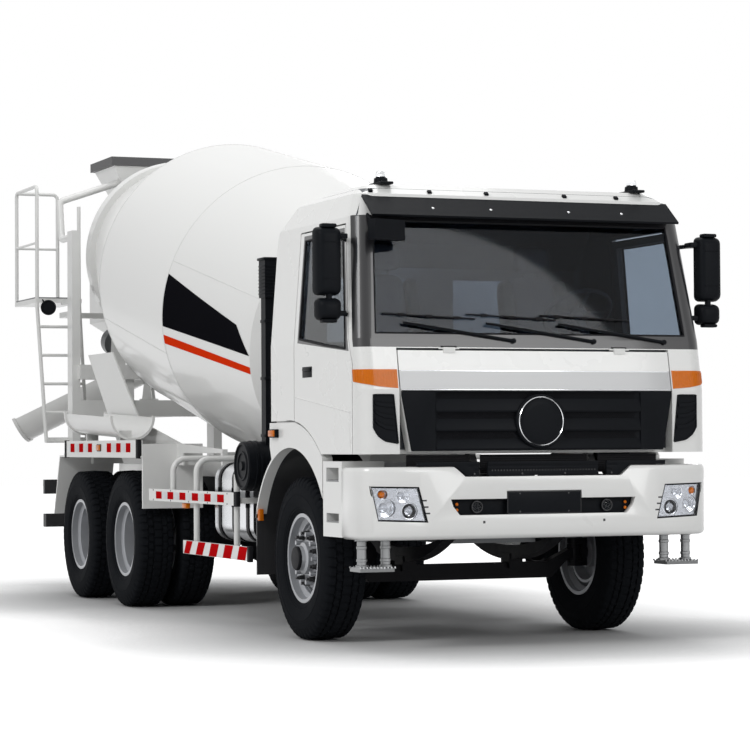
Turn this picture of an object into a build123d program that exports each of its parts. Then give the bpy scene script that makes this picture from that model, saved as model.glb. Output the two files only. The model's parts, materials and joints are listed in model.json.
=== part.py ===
from build123d import *
from math import cos, radians, sin, sqrt
import os

# A three-axle concrete mixer truck with a day cab, at its real size in millimetres.
# +X is forward, +Y is the truck's left, +Z is up; the origin is on the ground at the middle of the overall box.

# Whole vehicle
FRONT_OVERHANG = 1360
WHEELBASE = 3975
BOGIE_SPACING = 1350
BODY_HALF_WIDTH = 1225
MARKER_Y = 1245

# While the pieces are built, x is measured from the front axle; write_parts() moves them to the middle of the truck
AXLE_1_X = 0
AXLE_2_X = -WHEELBASE
AXLE_3_X = AXLE_2_X - BOGIE_SPACING

# Wheels and tyres
TYRE_RADIUS = 542
TYRE_WIDTH = 300
BEAD_RADIUS = 286
BEAD_FIT = 0.3
RIM_FLANGE_RADIUS = 298
RIM_WIDTH = 240
RIM_WALL = 12
FRONT_TRACK = 2030
TWIN_TRACK = 1828
TWIN_SPACING = 346
HUB_RADIUS = 105
RUNNING_FIT = 0.1
HAND_HOLES = 10
HAND_HOLE_RADIUS = 26
BOLT_CIRCLE_RADIUS = 167

# Ladder frame
RAIL_HALF_WIDTH = 430
RAIL_HEIGHT = 280
RAIL_FLANGE = 80
RAIL_WALL = 10
FRAME_TOP = 1040
FRAME_FRONT_X = 1060
REAR_POST_X = -6600
FRAME_REAR_X = REAR_POST_X - 125
FRAME_BOTTOM = FRAME_TOP - RAIL_HEIGHT

# Front axle and steering
KING_PIN_Y = 865
KING_PIN_RADIUS = 22
BOSS_RADIUS = 45
BOSS_HEIGHT = 110
FORK_GAP = 3
FORK_ARM = 38
SPINDLE_RADIUS = 42
BEAM_DROP = 60

# Cab
CAB_WALL = 55
CAB_REAR_X = -450
CAB_LOW_Z = 1235
CAB_STEP_Z = 1455
BELT_Z = 1960
SCREEN_TOP_Z = 2740
ROOF_EDGE_Z = 2890
ROOF_Z = 2955
DOOR_REAR_X = 95
DOOR_FRONT_X = 1150
DOOR_TOP_Z = 2700
PANEL_GAP = 10
DOOR_LAP = 6
CAB_PIVOT_X = 1235
CAB_PIVOT_Z = 1050
PIVOT_EAR_Y = 392
CAB_PIN_RADIUS = 25
LID_TOP_Z = 1890
LID_DEPTH = 45
LID_TOP_HALF = 950
LID_LOW_HALF = 885
GRILLE_TOP_Z = 1634
LID_HINGE_X = 1236
LID_HINGE_Z = 1898
LID_PIN_RADIUS = 5

# Drum and its carriers
DRUM_X = -1000
DRUM_Z = 1932
DRUM_TILT = 11.6
DRUM_WALL = 10
FLANGE_S = 60
FLANGE_RADIUS = 330
HEAD_S, HEAD_RADIUS = 400, 1020
BELLY_FRONT_S, BELLY_RADIUS = 2140, 1152
BELLY_REAR_S = 3970
RING_S, RING_SEAT_RADIUS = 5500, 790
RING_RADIUS = 844
RING_WIDTH = 120
MOUTH_S, MOUTH_RADIUS = 6050, 600
ROLLER_RADIUS = 130
ROLLER_ANGLE = 33
ROLLER_PIN_RADIUS = 30
ROLLING_GAP = 0.3

# Mixer body frame
SUB_LOW_TOP = FRAME_TOP + 32
SUB_TOP = FRAME_TOP + 160
SUB_IN_Y = 380
SUB_OUT_Y = 460
SUB_FRONT_X = -650
SUB_STEP_X = AXLE_2_X + 1225
OUTRIGGERS_X = [AXLE_2_X + 675, AXLE_2_X - 675, AXLE_3_X - 565]

# Rear mudguards, and the braces that stand between them and the rear posts
MUDGUARD_FRONT_X = AXLE_2_X + 575
MUDGUARD_REAR_X = AXLE_3_X - 625
MUDGUARD_IN_Y = 730
BRACE_IN_Y, BRACE_OUT_Y = 930, 945
BRACE_FRONT_X = AXLE_2_X + 1725

# Discharge chute
CHUTE_X = -7300
CHUTE_SWING = 60
CHUTE_HINGE_Z = 1850
CHUTE_SLOPE = 25
CHUTE_RADIUS = 215
CHUTE_WALL = 8
CHUTE_UPPER = 150
CHUTE_LOWER = 1280
SWIVEL_PIN_RADIUS = 35
SWIVEL_BEARING_Z = 1560
SWIVEL_BEARING_HEIGHT = 150
LIFT_PIN_RADIUS = 16
JACK_FOOT = (-95, 1440)
JACK_EYE = (-560, 1585)
JACK_PIN_RADIUS = 10
JACK_EYE_RADIUS = 34
EYE_PLAY = 10

# Rear platform and ladder
PLATFORM_Z = 2650
PLATFORM_FRONT_X = -6870
PLATFORM_REAR_X = -7670
PLATFORM_OUT_Y = 1200
PLATFORM_IN_Y = 770
PIPE_RADIUS = 17


def span(x0, x1, y0, y1, z0, z1):
    """A box between two corners."""
    return Pos((x0 + x1) / 2, (y0 + y1) / 2, (z0 + z1) / 2) * Box(abs(x1 - x0), abs(y1 - y0), abs(z1 - z0))


def side_plate(points, y0, y1):
    """A polygon in X and Z, between two Y values."""
    face = make_face(Polyline(*points, close=True))
    return extrude(Plane.XZ.offset(-max(y0, y1)) * face, amount=abs(y1 - y0))


def cross_plate(points, x0, x1):
    """A polygon in Y and Z, between two X values."""
    face = make_face(Polyline(*points, close=True))
    return extrude(Plane.YZ.offset(min(x0, x1)) * face, amount=abs(x1 - x0))


def cylinder(start, direction, radius, length):
    """A cylinder from a start point along a direction."""
    return extrude(Plane(origin=start, z_dir=direction) * Circle(radius), amount=length)


def pipe(points, radius, bend=60):
    """A round pipe along a route, its corners bent to one radius."""
    route = FilletPolyline(*points, radius=bend) if len(points) > 2 else Line(*points)
    return sweep(Plane(origin=route @ 0, z_dir=route % 0) * Circle(radius), path=route)


def both_sides(shape):
    """The shape and its mirror image on the other side of the truck."""
    return shape + mirror(shape, about=Plane.XZ)


def ring(stations, start, direction):
    """A body turned from (radius, height) stations, standing at start along direction."""
    face = make_face(Polyline(*stations, close=True))
    turned = revolve(Plane.XZ * face, axis=Axis.Z)
    return Plane(origin=start, z_dir=direction).location * turned


parts = {}


def save(name, shape):
    """Keeps one finished sub-part under its name."""
    parts[name] = shape.solids()


def write_parts():
    """Writes every sub-part, with the middle of the overall length at x = 0."""
    boxes = [solid.bounding_box() for solids in parts.values() for solid in solids]
    rear, front = min(box.min.X for box in boxes), max(box.max.X for box in boxes)
    centre = Pos(-round((rear + front) / 2, 1), 0, 0)
    os.makedirs("parts", exist_ok=True)
    for name, solids in parts.items():
        shape = solids[0] if len(solids) == 1 else Compound(children=list(solids))
        export_step(centre * shape, f"parts/{name}.step")


# Wheels

def tyre(centre_y, side):
    """A tyre on the wheel line at y, without its tread pattern."""
    half = TYRE_WIDTH / 2
    stations = [
        (BEAD_RADIUS + BEAD_FIT, -half + 42), (RIM_FLANGE_RADIUS + 2, -half + 42), (RIM_FLANGE_RADIUS + 8, -half + 24),
        (BEAD_RADIUS + 100, -half + 2),
        (BEAD_RADIUS + 140, -half), (TYRE_RADIUS - 62, -half + 9), (TYRE_RADIUS - 22, -half + 20),
        (TYRE_RADIUS - 5, -half + 34), (TYRE_RADIUS, 0),
    ]
    other = [(r, -y) for r, y in reversed(stations[:-1])]
    return ring(stations + other, (0, side * centre_y, TYRE_RADIUS), (0, 1, 0))


def rim_stations():
    """Half section of a rim, as (radius, height)."""
    half = RIM_WIDTH / 2
    outer = [
        (RIM_FLANGE_RADIUS, half), (RIM_FLANGE_RADIUS, half - 10), (BEAD_RADIUS, half - 12),
        (BEAD_RADIUS, half - 46), (BEAD_RADIUS - 32, half - 62), (BEAD_RADIUS - 32, -half + 72),
        (BEAD_RADIUS, -half + 46), (BEAD_RADIUS, -half + 12), (RIM_FLANGE_RADIUS, -half + 10),
        (RIM_FLANGE_RADIUS, -half),
    ]
    inner = [
        (BEAD_RADIUS - RIM_WALL, -half), (BEAD_RADIUS - RIM_WALL, -half + 40),
        (BEAD_RADIUS - 32 - RIM_WALL, -half + 66), (BEAD_RADIUS - 32 - RIM_WALL, half - 66),
        (BEAD_RADIUS - RIM_WALL, half - 50), (BEAD_RADIUS - RIM_WALL, half),
    ]
    return outer + inner


def disc(offset, hub_offset, thickness):
    """The wheel disc from the hub out to the rim well: flat at the hub, coned to the well."""
    well = BEAD_RADIUS - 32 - RIM_WALL + 3
    return [
        (HUB_RADIUS - 5, hub_offset), (BOLT_CIRCLE_RADIUS + 24, hub_offset), (well, offset),
        (well, offset + thickness + 6), (BOLT_CIRCLE_RADIUS + 20, hub_offset + thickness),
        (HUB_RADIUS - 5, hub_offset + thickness),
    ]


def hand_holes(centre, direction, radius, depth):
    """The ring of holes through a wheel disc."""
    plane = Plane(origin=centre, z_dir=direction)
    tools = [
        plane.location * Rot(0, 0, 360 * i / HAND_HOLES) * Pos(radius, 0, 0) * Cylinder(HAND_HOLE_RADIUS, depth)
        for i in range(HAND_HOLES)
    ]
    return tools


def bolts(centre, direction, height):
    """The ring of wheel bolts, standing on the disc."""
    plane = Plane(origin=centre, z_dir=direction)
    body = [
        plane.location * Rot(0, 0, 360 * (i + 0.5) / HAND_HOLES) * Pos(BOLT_CIRCLE_RADIUS, 0, height / 2)
        * Cylinder(15, height)
        for i in range(HAND_HOLES)
    ]
    return body


def front_rim(side):
    """Steered wheel: rim, outward disc, hub and brake drum in one."""
    y = FRONT_TRACK / 2
    centre, out = (0, side * y, TYRE_RADIUS), (0, side, 0)
    body = ring(rim_stations(), centre, out)
    body += ring(disc(10, 62, 14), centre, out)
    for tool in hand_holes((0, side * (y + 50), TYRE_RADIUS), out, 208, 120):
        body -= tool
    hub_back = KING_PIN_Y + BOSS_RADIUS + 50 - y
    hub = [
        (SPINDLE_RADIUS + RUNNING_FIT, hub_back), (HUB_RADIUS, hub_back), (HUB_RADIUS, 118),
        (HUB_RADIUS - 22, 130), (HUB_RADIUS - 30, 172), (0, 172), (0, 100), (SPINDLE_RADIUS + RUNNING_FIT, 100),
    ]
    body += ring(hub, centre, out)
    drum_wall = [
        (HUB_RADIUS - 5, 40), (215, 40), (215, hub_back - 10), (197, hub_back - 10), (197, 26), (HUB_RADIUS - 5, 26),
    ]
    body += ring(drum_wall, centre, out)
    for bolt in bolts((0, side * (y + 74), TYRE_RADIUS), out, 46):
        body += bolt
    return body


def twin_rim(side):
    """Driven twin wheel: two dished rims back to back, hub and brake drum in one."""
    y = TWIN_TRACK / 2
    centre, out = (0, side * y, TYRE_RADIUS), (0, side, 0)
    half = TWIN_SPACING / 2
    body = None
    for shift, flip in ((half, 1), (-half, -1)):
        rim = ring(rim_stations(), (0, side * (y + shift), TYRE_RADIUS), out)
        cone = [
            (HUB_RADIUS - 5, 0), (BOLT_CIRCLE_RADIUS + 26, 0), (BEAD_RADIUS - 40, flip * 96),
            (BEAD_RADIUS - 40, flip * 118), (BOLT_CIRCLE_RADIUS + 22, flip * 14), (HUB_RADIUS - 5, flip * 14),
        ]
        dish = ring(cone, centre, out)
        body = rim + dish if body is None else body + rim + dish
    for tool in hand_holes((0, side * y, TYRE_RADIUS), out, 222, 220):
        body -= tool
    hub = [
        (SPINDLE_RADIUS + RUNNING_FIT, -130), (HUB_RADIUS + 10, -130), (HUB_RADIUS + 10, 60), (HUB_RADIUS - 10, 72),
        (HUB_RADIUS - 18, 120), (0, 120), (0, -20), (SPINDLE_RADIUS + RUNNING_FIT, -20),
    ]
    body += ring(hub, centre, out)
    brake = [(HUB_RADIUS, -80), (210, -80), (210, -300), (192, -300), (192, -100), (HUB_RADIUS, -100)]
    body += ring(brake, centre, out)
    for bolt in bolts((0, side * (y + 10), TYRE_RADIUS), out, 40):
        body += bolt
    return body


def wheels():
    for side, hand in ((-1, "right"), (1, "left")):
        save(f"tyre_1_{hand}", Pos(AXLE_1_X, 0, 0) * tyre(FRONT_TRACK / 2, side))
        save(f"rim_1_{hand}", Pos(AXLE_1_X, 0, 0) * front_rim(side))
        twin = tyre(TWIN_TRACK / 2 + TWIN_SPACING / 2, side) + tyre(TWIN_TRACK / 2 - TWIN_SPACING / 2, side)
        rims = twin_rim(side)
        for number, x in ((2, AXLE_2_X), (3, AXLE_3_X)):
            save(f"tyres_{number}_{hand}", Pos(x, 0, 0) * twin)
            save(f"rims_{number}_{hand}", Pos(x, 0, 0) * rims)


# Chassis

def channel_rail(x0, x1, z0, z1):
    """One frame rail on the left: a C section open to the middle."""
    outer = span(x0, x1, RAIL_HALF_WIDTH - RAIL_FLANGE, RAIL_HALF_WIDTH, z0, z1)
    pocket = span(x0, x1, RAIL_HALF_WIDTH - RAIL_FLANGE, RAIL_HALF_WIDTH - RAIL_WALL, z0 + RAIL_WALL, z1 - RAIL_WALL)
    return outer - pocket


def chassis_frame():
    body = both_sides(channel_rail(FRAME_REAR_X, FRAME_FRONT_X, FRAME_BOTTOM, FRAME_TOP))
    web = RAIL_HALF_WIDTH - RAIL_WALL
    for x, width in (
        (FRAME_FRONT_X - 60, 120), (-1550, 100), (AXLE_2_X + 760, 100),
        ((AXLE_2_X + AXLE_3_X) / 2, 160), (AXLE_3_X - 620, 100), (FRAME_REAR_X + 40, 80),
    ):
        low, high = FRAME_TOP - 180, FRAME_TOP - 90
        cross = span(x - width / 2, x + width / 2, -web, web, low, high)
        cross -= span(x - width / 2 + 8, x + width / 2 - 8, -web + 12, web - 12, low, high - 12)
        body += cross
    ear_low = FRAME_TOP - 60
    ears = span(FRAME_FRONT_X - 160, CAB_PIVOT_X + 55, PIVOT_EAR_Y - 40, PIVOT_EAR_Y, ear_low, CAB_PIVOT_Z + 55)
    body += both_sides(ears)
    body += cylinder((CAB_PIVOT_X, -PIVOT_EAR_Y - 55, CAB_PIVOT_Z), (0, 1, 0), CAB_PIN_RADIUS, 2 * PIVOT_EAR_Y + 110)
    return body


def leaf_pack(x, z, length, rise, thickness, y):
    """A pack of leaves as one crescent, its middle at x and z, on the left."""
    top = ThreePointArc((x - length / 2, z + rise), (x, z), (x + length / 2, z + rise))
    low = ThreePointArc((x + length / 2, z + rise - 16), (x, z - thickness), (x - length / 2, z + rise - 16))
    ends = [Line(top @ 1, low @ 0), Line(low @ 1, top @ 0)]
    face = make_face([top, ends[0], low, ends[1]])
    return extrude(Plane.XZ.offset(-(y + 42)) * face, amount=84)


FRONT_SPRING_Y = 395
FRONT_SPRING_LENGTH = 1500
BEAM_TOP = TYRE_RADIUS - BEAM_DROP


def front_axle():
    """Drop beam with king pin bosses, and the leaf packs that carry the frame on it."""
    boss_low, boss_top = TYRE_RADIUS - BOSS_HEIGHT / 2, TYRE_RADIUS + BOSS_HEIGHT / 2
    points = [
        (-KING_PIN_Y, boss_low + 10), (-KING_PIN_Y + 60, boss_low + 10), (-KING_PIN_Y + 190, BEAM_TOP - 110),
        (KING_PIN_Y - 190, BEAM_TOP - 110), (KING_PIN_Y - 60, boss_low + 10), (KING_PIN_Y, boss_low + 10), (KING_PIN_Y, boss_top - 10), (KING_PIN_Y - 220, BEAM_TOP),
        (-KING_PIN_Y + 220, BEAM_TOP), (-KING_PIN_Y, boss_top - 10),
    ]
    body = cross_plate(points, -40, 40)
    spring_z = BEAM_TOP + 120
    rise = 90
    for side in (-1, 1):
        body += cylinder((AXLE_1_X, side * KING_PIN_Y, boss_low), (0, 0, 1), BOSS_RADIUS, BOSS_HEIGHT)
    bores = [
        cylinder((AXLE_1_X, side * KING_PIN_Y, boss_low - 5), (0, 0, 1), KING_PIN_RADIUS + RUNNING_FIT, BOSS_HEIGHT + 10)
        for side in (-1, 1)
    ]
    left = leaf_pack(AXLE_1_X, spring_z, FRONT_SPRING_LENGTH, rise, 100, FRONT_SPRING_Y)
    left += span(-70, 70, FRONT_SPRING_Y - 50, FRONT_SPRING_Y + 50, BEAM_TOP - 40, spring_z - 60)
    for end in (-1, 1):
        x = end * (FRONT_SPRING_LENGTH / 2 - 30)
        left += span(x - 35, x + 35, FRONT_SPRING_Y - 42, FRONT_SPRING_Y + 34, spring_z + rise - 22, FRAME_BOTTOM)
    body += both_sides(left)
    for bore in bores:
        body -= bore
    return body


def knuckle(side):
    """Fork with king pin and wheel spindle."""
    low = TYRE_RADIUS - BOSS_HEIGHT / 2 - FORK_GAP
    top = TYRE_RADIUS + BOSS_HEIGHT / 2 + FORK_GAP
    web_y = KING_PIN_Y + BOSS_RADIUS + 6
    body = span(-42, 42, side * web_y, side * (web_y + 34), low - FORK_ARM, top + FORK_ARM)
    for z in (low - FORK_ARM, top):
        arm = span(-42, 42, side * KING_PIN_Y, side * (web_y + 10), z, z + FORK_ARM)
        body += arm + cylinder((0, side * KING_PIN_Y, z), (0, 0, 1), 42, FORK_ARM)
    body += cylinder((0, side * KING_PIN_Y, low - 5), (0, 0, 1), KING_PIN_RADIUS, top - low + 10)
    body += cylinder((0, side * (web_y + 30), TYRE_RADIUS), (0, side, 0), SPINDLE_RADIUS, FRONT_TRACK / 2 + 92 - web_y - 30)
    return Pos(AXLE_1_X, 0, 0) * body


def engine():
    """Engine and gearbox as plain blocks between the rails."""
    body = span(-720, 560, -310, 310, 640, 1170)
    body += span(-720, -640, -(RAIL_HALF_WIDTH - RAIL_WALL), RAIL_HALF_WIDTH - RAIL_WALL, 840, 900)
    body += span(470, 550, -(RAIL_HALF_WIDTH - RAIL_WALL), RAIL_HALF_WIDTH - RAIL_WALL, 840, 900)
    body += span(-1380, -720, -210, 210, 640, 960)
    return body


SHAFT_Z = 730


def rear_axles():
    """Both drive axles with their housings, joined by the propeller shafts."""
    body = None
    for x in (AXLE_2_X, AXLE_3_X):
        hub_in = TWIN_TRACK / 2 - 130
        axle = cylinder((x, -hub_in + 40, TYRE_RADIUS), (0, 1, 0), 68, 2 * hub_in - 80)
        axle += cylinder((x, -hub_in - 100, TYRE_RADIUS), (0, 1, 0), SPINDLE_RADIUS, 2 * hub_in + 200)
        axle += Pos(x, 0, TYRE_RADIUS) * Sphere(215)
        axle += span(x - 40, x + 240, -95, 95, TYRE_RADIUS - 20, SHAFT_Z + 80)
        for side in (-1, 1):
            axle += span(x - 60, x + 60, side * 440, side * 530, TYRE_RADIUS, REAR_SPRING_Z - 16)
        body = axle if body is None else body + axle
    gearbox_end = -1380
    body += cylinder((AXLE_2_X + 230, 0, SHAFT_Z), (1, 0, 0), 55, gearbox_end - AXLE_2_X - 230)
    body += cylinder((AXLE_3_X + 230, 0, SHAFT_Z), (1, 0, 0), 50, BOGIE_SPACING - 230)
    return body


REAR_SPRING_Z = 660
TRUNNION_RADIUS = 55


def rear_springs():
    """Bogie leaf packs on a cross trunnion hung from the rails."""
    middle = (AXLE_2_X + AXLE_3_X) / 2
    length = BOGIE_SPACING + 160
    top = [
        (middle - length / 2, REAR_SPRING_Z), (middle - length / 2, REAR_SPRING_Z - 16),
        (middle + length / 2, REAR_SPRING_Z - 16), (middle + length / 2, REAR_SPRING_Z),
        (middle + 260, REAR_SPRING_Z + 96), (middle - 260, REAR_SPRING_Z + 96),
    ]
    pack = side_plate(top, 444, 526)
    saddle = span(middle - 90, middle + 90, 430, 530, REAR_SPRING_Z - 130, REAR_SPRING_Z)
    hanger = span(middle - 110, middle + 110, 384, 428, REAR_SPRING_Z - 130, FRAME_BOTTOM)
    body = both_sides(pack + saddle + hanger)
    body += cylinder((middle, -500, REAR_SPRING_Z - 80), (0, 1, 0), TRUNNION_RADIUS, 1000)
    return body


# Body frame and what stands on it

def side_brace():
    """Plate brace on the left that rises from the frame to the drum's rear carrier."""
    points = [
        (-6020, 2100), (-5250, 2100), (-4430, 1500), (OUTRIGGERS_X[0], 1310), (BRACE_FRONT_X, 1265),
        (BRACE_FRONT_X, 1236), (OUTRIGGERS_X[0] + 70, 1236), (OUTRIGGERS_X[0] + 70, SUB_TOP - 60),
        (OUTRIGGERS_X[1] - 250, SUB_TOP - 60), (OUTRIGGERS_X[1] - 450, 1330),
    ]
    return side_plate(points, BRACE_IN_Y, BRACE_OUT_Y)


def body_frame():
    """Sub rails on the chassis, outriggers for the mudguards, and the side braces of the rear pedestal."""
    profile = [
        (SUB_FRONT_X, FRAME_TOP), (SUB_FRONT_X, SUB_LOW_TOP), (SUB_STEP_X, SUB_LOW_TOP),
        (SUB_STEP_X - 150, SUB_TOP), (FRAME_REAR_X, SUB_TOP), (FRAME_REAR_X, FRAME_TOP),
    ]
    left = side_plate(profile, SUB_IN_Y, SUB_OUT_Y)
    for x in OUTRIGGERS_X:
        left += span(x - 40, x + 40, SUB_OUT_Y - 5, BRACE_OUT_Y, SUB_TOP - 60, SUB_TOP)
    left += side_brace()
    foot_x = BRACE_FRONT_X - 40
    left += span(foot_x, BRACE_FRONT_X, SUB_OUT_Y - 5, BRACE_OUT_Y, FRAME_TOP + 5, FRAME_TOP + 45)
    left += span(foot_x, BRACE_FRONT_X, BRACE_IN_Y - 25, BRACE_OUT_Y, FRAME_TOP + 5, 1265)
    body = both_sides(left)
    for x in (OUTRIGGERS_X[0], OUTRIGGERS_X[2], FRAME_REAR_X + 60):
        body += span(x - 40, x + 40, -SUB_IN_Y - 5, SUB_IN_Y + 5, FRAME_TOP + 20, FRAME_TOP + 120)
    return body


DRUM_AXIS = (-cos(radians(DRUM_TILT)), 0, sin(radians(DRUM_TILT)))
DRUM_DOWN = (-sin(radians(DRUM_TILT)), 0, -cos(radians(DRUM_TILT)))
DRUM_PLANE = Plane(origin=(DRUM_X, 0, DRUM_Z), x_dir=DRUM_DOWN, z_dir=DRUM_AXIS)
DRUM_SHAFT_RADIUS = 60


def on_drum(shape):
    """Places a shape built along the drum's axis: its x points down, its z runs rearward."""
    return DRUM_PLANE.location * shape


def drum():
    """Drum shell: front head, cone, belly, rear cone, ring and open mouth, with its drive shaft."""
    wall = DRUM_WALL
    outer = [
        (0, FLANGE_S), (FLANGE_RADIUS, FLANGE_S), (640, 150), (870, 265), (HEAD_RADIUS, HEAD_S),
        (BELLY_RADIUS, BELLY_FRONT_S), (BELLY_RADIUS, BELLY_REAR_S), (RING_SEAT_RADIUS, RING_S - RING_WIDTH / 2),
        (RING_RADIUS, RING_S - RING_WIDTH / 2), (RING_RADIUS, RING_S + RING_WIDTH / 2),
        (RING_SEAT_RADIUS, RING_S + RING_WIDTH / 2), (MOUTH_RADIUS, MOUTH_S),
    ]
    inner = [
        (MOUTH_RADIUS - wall, MOUTH_S), (RING_SEAT_RADIUS - wall, RING_S + RING_WIDTH / 2),
        (RING_SEAT_RADIUS - wall, RING_S - RING_WIDTH / 2), (BELLY_RADIUS - wall, BELLY_REAR_S),
        (BELLY_RADIUS - wall, BELLY_FRONT_S), (HEAD_RADIUS - wall, HEAD_S + 8), (870, 265 + 14), (640, 150 + 12),
        (FLANGE_RADIUS, FLANGE_S + 12), (0, FLANGE_S + 12),
    ]
    body = revolve(Plane.XZ * make_face(Polyline(*outer, *inner, close=True)), axis=Axis.Z)
    body += Pos(0, 0, FLANGE_S - 60) * Cylinder(DRUM_SHAFT_RADIUS, 130)
    return on_drum(Rot(0, 0, 180) * body)


def front_pedestal():
    """Stand and gearbox that hold the front of the drum."""
    body = on_drum(Pos(0, 0, -95) * Cylinder(215, 270))
    body -= on_drum(Pos(0, 0, -20) * Cylinder(DRUM_SHAFT_RADIUS + RUNNING_FIT / 2, 160))
    body += on_drum(Pos(0, 0, -270) * Cylinder(110, 90))
    legs = [(-470, SUB_LOW_TOP), (-380, SUB_LOW_TOP), (-150, 1830), (-205, 1870)]
    left = cross_plate([(-y, z) for y, z in legs], -960, -780)
    left += span(-980, -760, SUB_IN_Y, SUB_OUT_Y + 30, SUB_LOW_TOP, SUB_LOW_TOP + 25)
    body += both_sides(left)
    body += span(-950, -790, -300, 300, 1500, 1560)
    return body


ROLLER_Y = (RING_RADIUS + ROLLER_RADIUS + ROLLING_GAP) * sin(radians(ROLLER_ANGLE))
ROLLER_DOWN = (RING_RADIUS + ROLLER_RADIUS + ROLLING_GAP) * cos(radians(ROLLER_ANGLE))


def drum_roller(side):
    """One support roller with its pin."""
    body = Cylinder(ROLLER_RADIUS, RING_WIDTH + 16) + Cylinder(ROLLER_PIN_RADIUS, RING_WIDTH + 96)
    return on_drum(Pos(ROLLER_DOWN, -side * ROLLER_Y, RING_S) * Rot(0, 0, 90 * side) * body)


def rear_pedestal():
    """Posts and beams that carry the drum's ring, the hoppers and the chute's bearing."""
    x = REAR_POST_X
    left = span(x - 80, x + 80, 880, 955, SUB_TOP, 3250)
    left += span(x - 120, x + 120, SUB_OUT_Y - 60, 980, SUB_TOP, SUB_TOP + 30)
    left += span(x - 100, x + 100, SUB_IN_Y, SUB_OUT_Y, SUB_TOP, 1950)
    body = both_sides(left)
    body += span(x - 130, x + 150, -900, 900, 1900, 2030)
    body += span(x - 80, x + 80, -900, 900, SWIVEL_BEARING_Z, SWIVEL_BEARING_Z + SWIVEL_BEARING_HEIGHT)
    for side in (-1, 1):
        for offset in (-(RING_WIDTH / 2 + 24), RING_WIDTH / 2 + 24):
            plate = Pos(ROLLER_DOWN + 85, -side * ROLLER_Y, RING_S + offset) * Box(290, 140, 22)
            plate -= Pos(ROLLER_DOWN, -side * ROLLER_Y, RING_S + offset) * Cylinder(ROLLER_PIN_RADIUS + RUNNING_FIT / 2, 40)
            body += on_drum(plate)
    arm_z = SWIVEL_BEARING_Z
    body += span(CHUTE_X + 50, x, -60, 60, arm_z, arm_z + SWIVEL_BEARING_HEIGHT)
    body += cylinder((CHUTE_X, 0, arm_z), (0, 0, 1), 80, SWIVEL_BEARING_HEIGHT)
    body -= cylinder((CHUTE_X, 0, arm_z - 5), (0, 0, 1), SWIVEL_PIN_RADIUS + RUNNING_FIT / 2, SWIVEL_BEARING_HEIGHT + 10)
    return body


def funnel(top, low, inset=0):
    """A solid funnel between two rectangles given as (x0, x1, half width, z), moved inward by the inset."""
    faces = []
    for x0, x1, half, z in (low, top):
        plan = Rectangle(abs(x1 - x0) - 2 * inset, 2 * (half - inset))
        faces.append(Pos((x0 + x1) / 2, 0, z) * plan)
    return loft(faces, ruled=True)


SHEET = 8


def discharge_hopper():
    """Funnel under the drum's mouth, with a back plate, hung from the rear posts."""
    top, low = (-7680, -6990, 470, 2460), (-7450, -7160, 175, 2240)
    body = funnel(top, low) + span(-7680, -6990, -470, 470, 2459, 2900)
    for side in (-1, 1):
        body += span(-7100, -6680, side * 880, side * 920, 2480, 2530)
        body += span(-7100, -7060, side * 466, side * 920, 2480, 2530)
    body -= funnel(top, low, SHEET)
    body -= span(-7680 + SHEET, -6990 - SHEET, -470 + SHEET, 470 - SHEET, 2459, 2950)
    body -= side_plate([(-6900, 2465), (-6900, 2950), (-7250, 2950), (-7000, 2465)], -472, 472)
    return body


def charging_hopper():
    """Top hopper with its rubber rim and the spout that reaches into the drum, on two bent pipes."""
    rim, neck, mouth = (-7620, -6920, 450, 3930), (-7500, -7000, 300, 3620), (-6980, -6700, 180, 3200)
    body = funnel(rim, neck) + funnel(neck, mouth)
    for side in (-1, 1):
        y = side * 920
        body += pipe([(-6680, y, 3200), (-7000, y, 3200), (-7080, y, 3560), (-7080, side * 340, 3760)], 32, 55)
    body -= funnel(rim, neck, SHEET)
    body -= funnel(neck, mouth, SHEET)
    body += span(-7640, -6900, -470, 470, 3900, 3980) - span(-7615, -6925, -445, 445, 3890, 3990)
    return body


def platform_and_ladder():
    """Rear platform with guard rails and the fixed ladder under it."""
    body = span(PLATFORM_REAR_X, PLATFORM_FRONT_X, -PLATFORM_OUT_Y, -PLATFORM_IN_Y, PLATFORM_Z - 40, PLATFORM_Z)
    body += span(PLATFORM_FRONT_X - 40, -6680, -955, -900, PLATFORM_Z - 60, PLATFORM_Z - 10)
    for foot_y, top_y in ((-1150, -1190), (-770, -790)):
        body += pipe([(-6700, foot_y, 1330), (-6890, top_y, PLATFORM_Z - 5)], PIPE_RADIUS)
    for step in range(5):
        share = (step + 0.02) / 5
        x = -6700 - 190 * share
        z = 1335 + (PLATFORM_Z - 1340) * share
        body += pipe([(x, -1150 - 40 * share, z), (x, -770 - 20 * share, z)], 14)
    top_z, mid_z = 3680, 3160
    rails = [
        [(-6890, -1185, PLATFORM_Z - 10), (-6890, -1185, top_z), (-7655, -1185, top_z), (-7655, -1185, PLATFORM_Z - 10)],
        [(-7655, -1185, top_z), (-7655, -790, top_z), (-7655, -790, PLATFORM_Z - 10)],
        [(-6890, -790, PLATFORM_Z - 10), (-6890, -790, 3500)],
    ]
    for route in rails:
        body += pipe(route, PIPE_RADIUS, 50)
    body += pipe([(-6890, -1185, mid_z), (-7655, -1185, mid_z)], 12)
    body += pipe([(-7655, -1185, mid_z), (-7655, -790, mid_z)], 12)
    body += span(-6900, -6680, -955, -930, 1335, 1375)
    body += span(-6725, -6680, -1150, -770, 1335, 1375)
    return body


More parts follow.
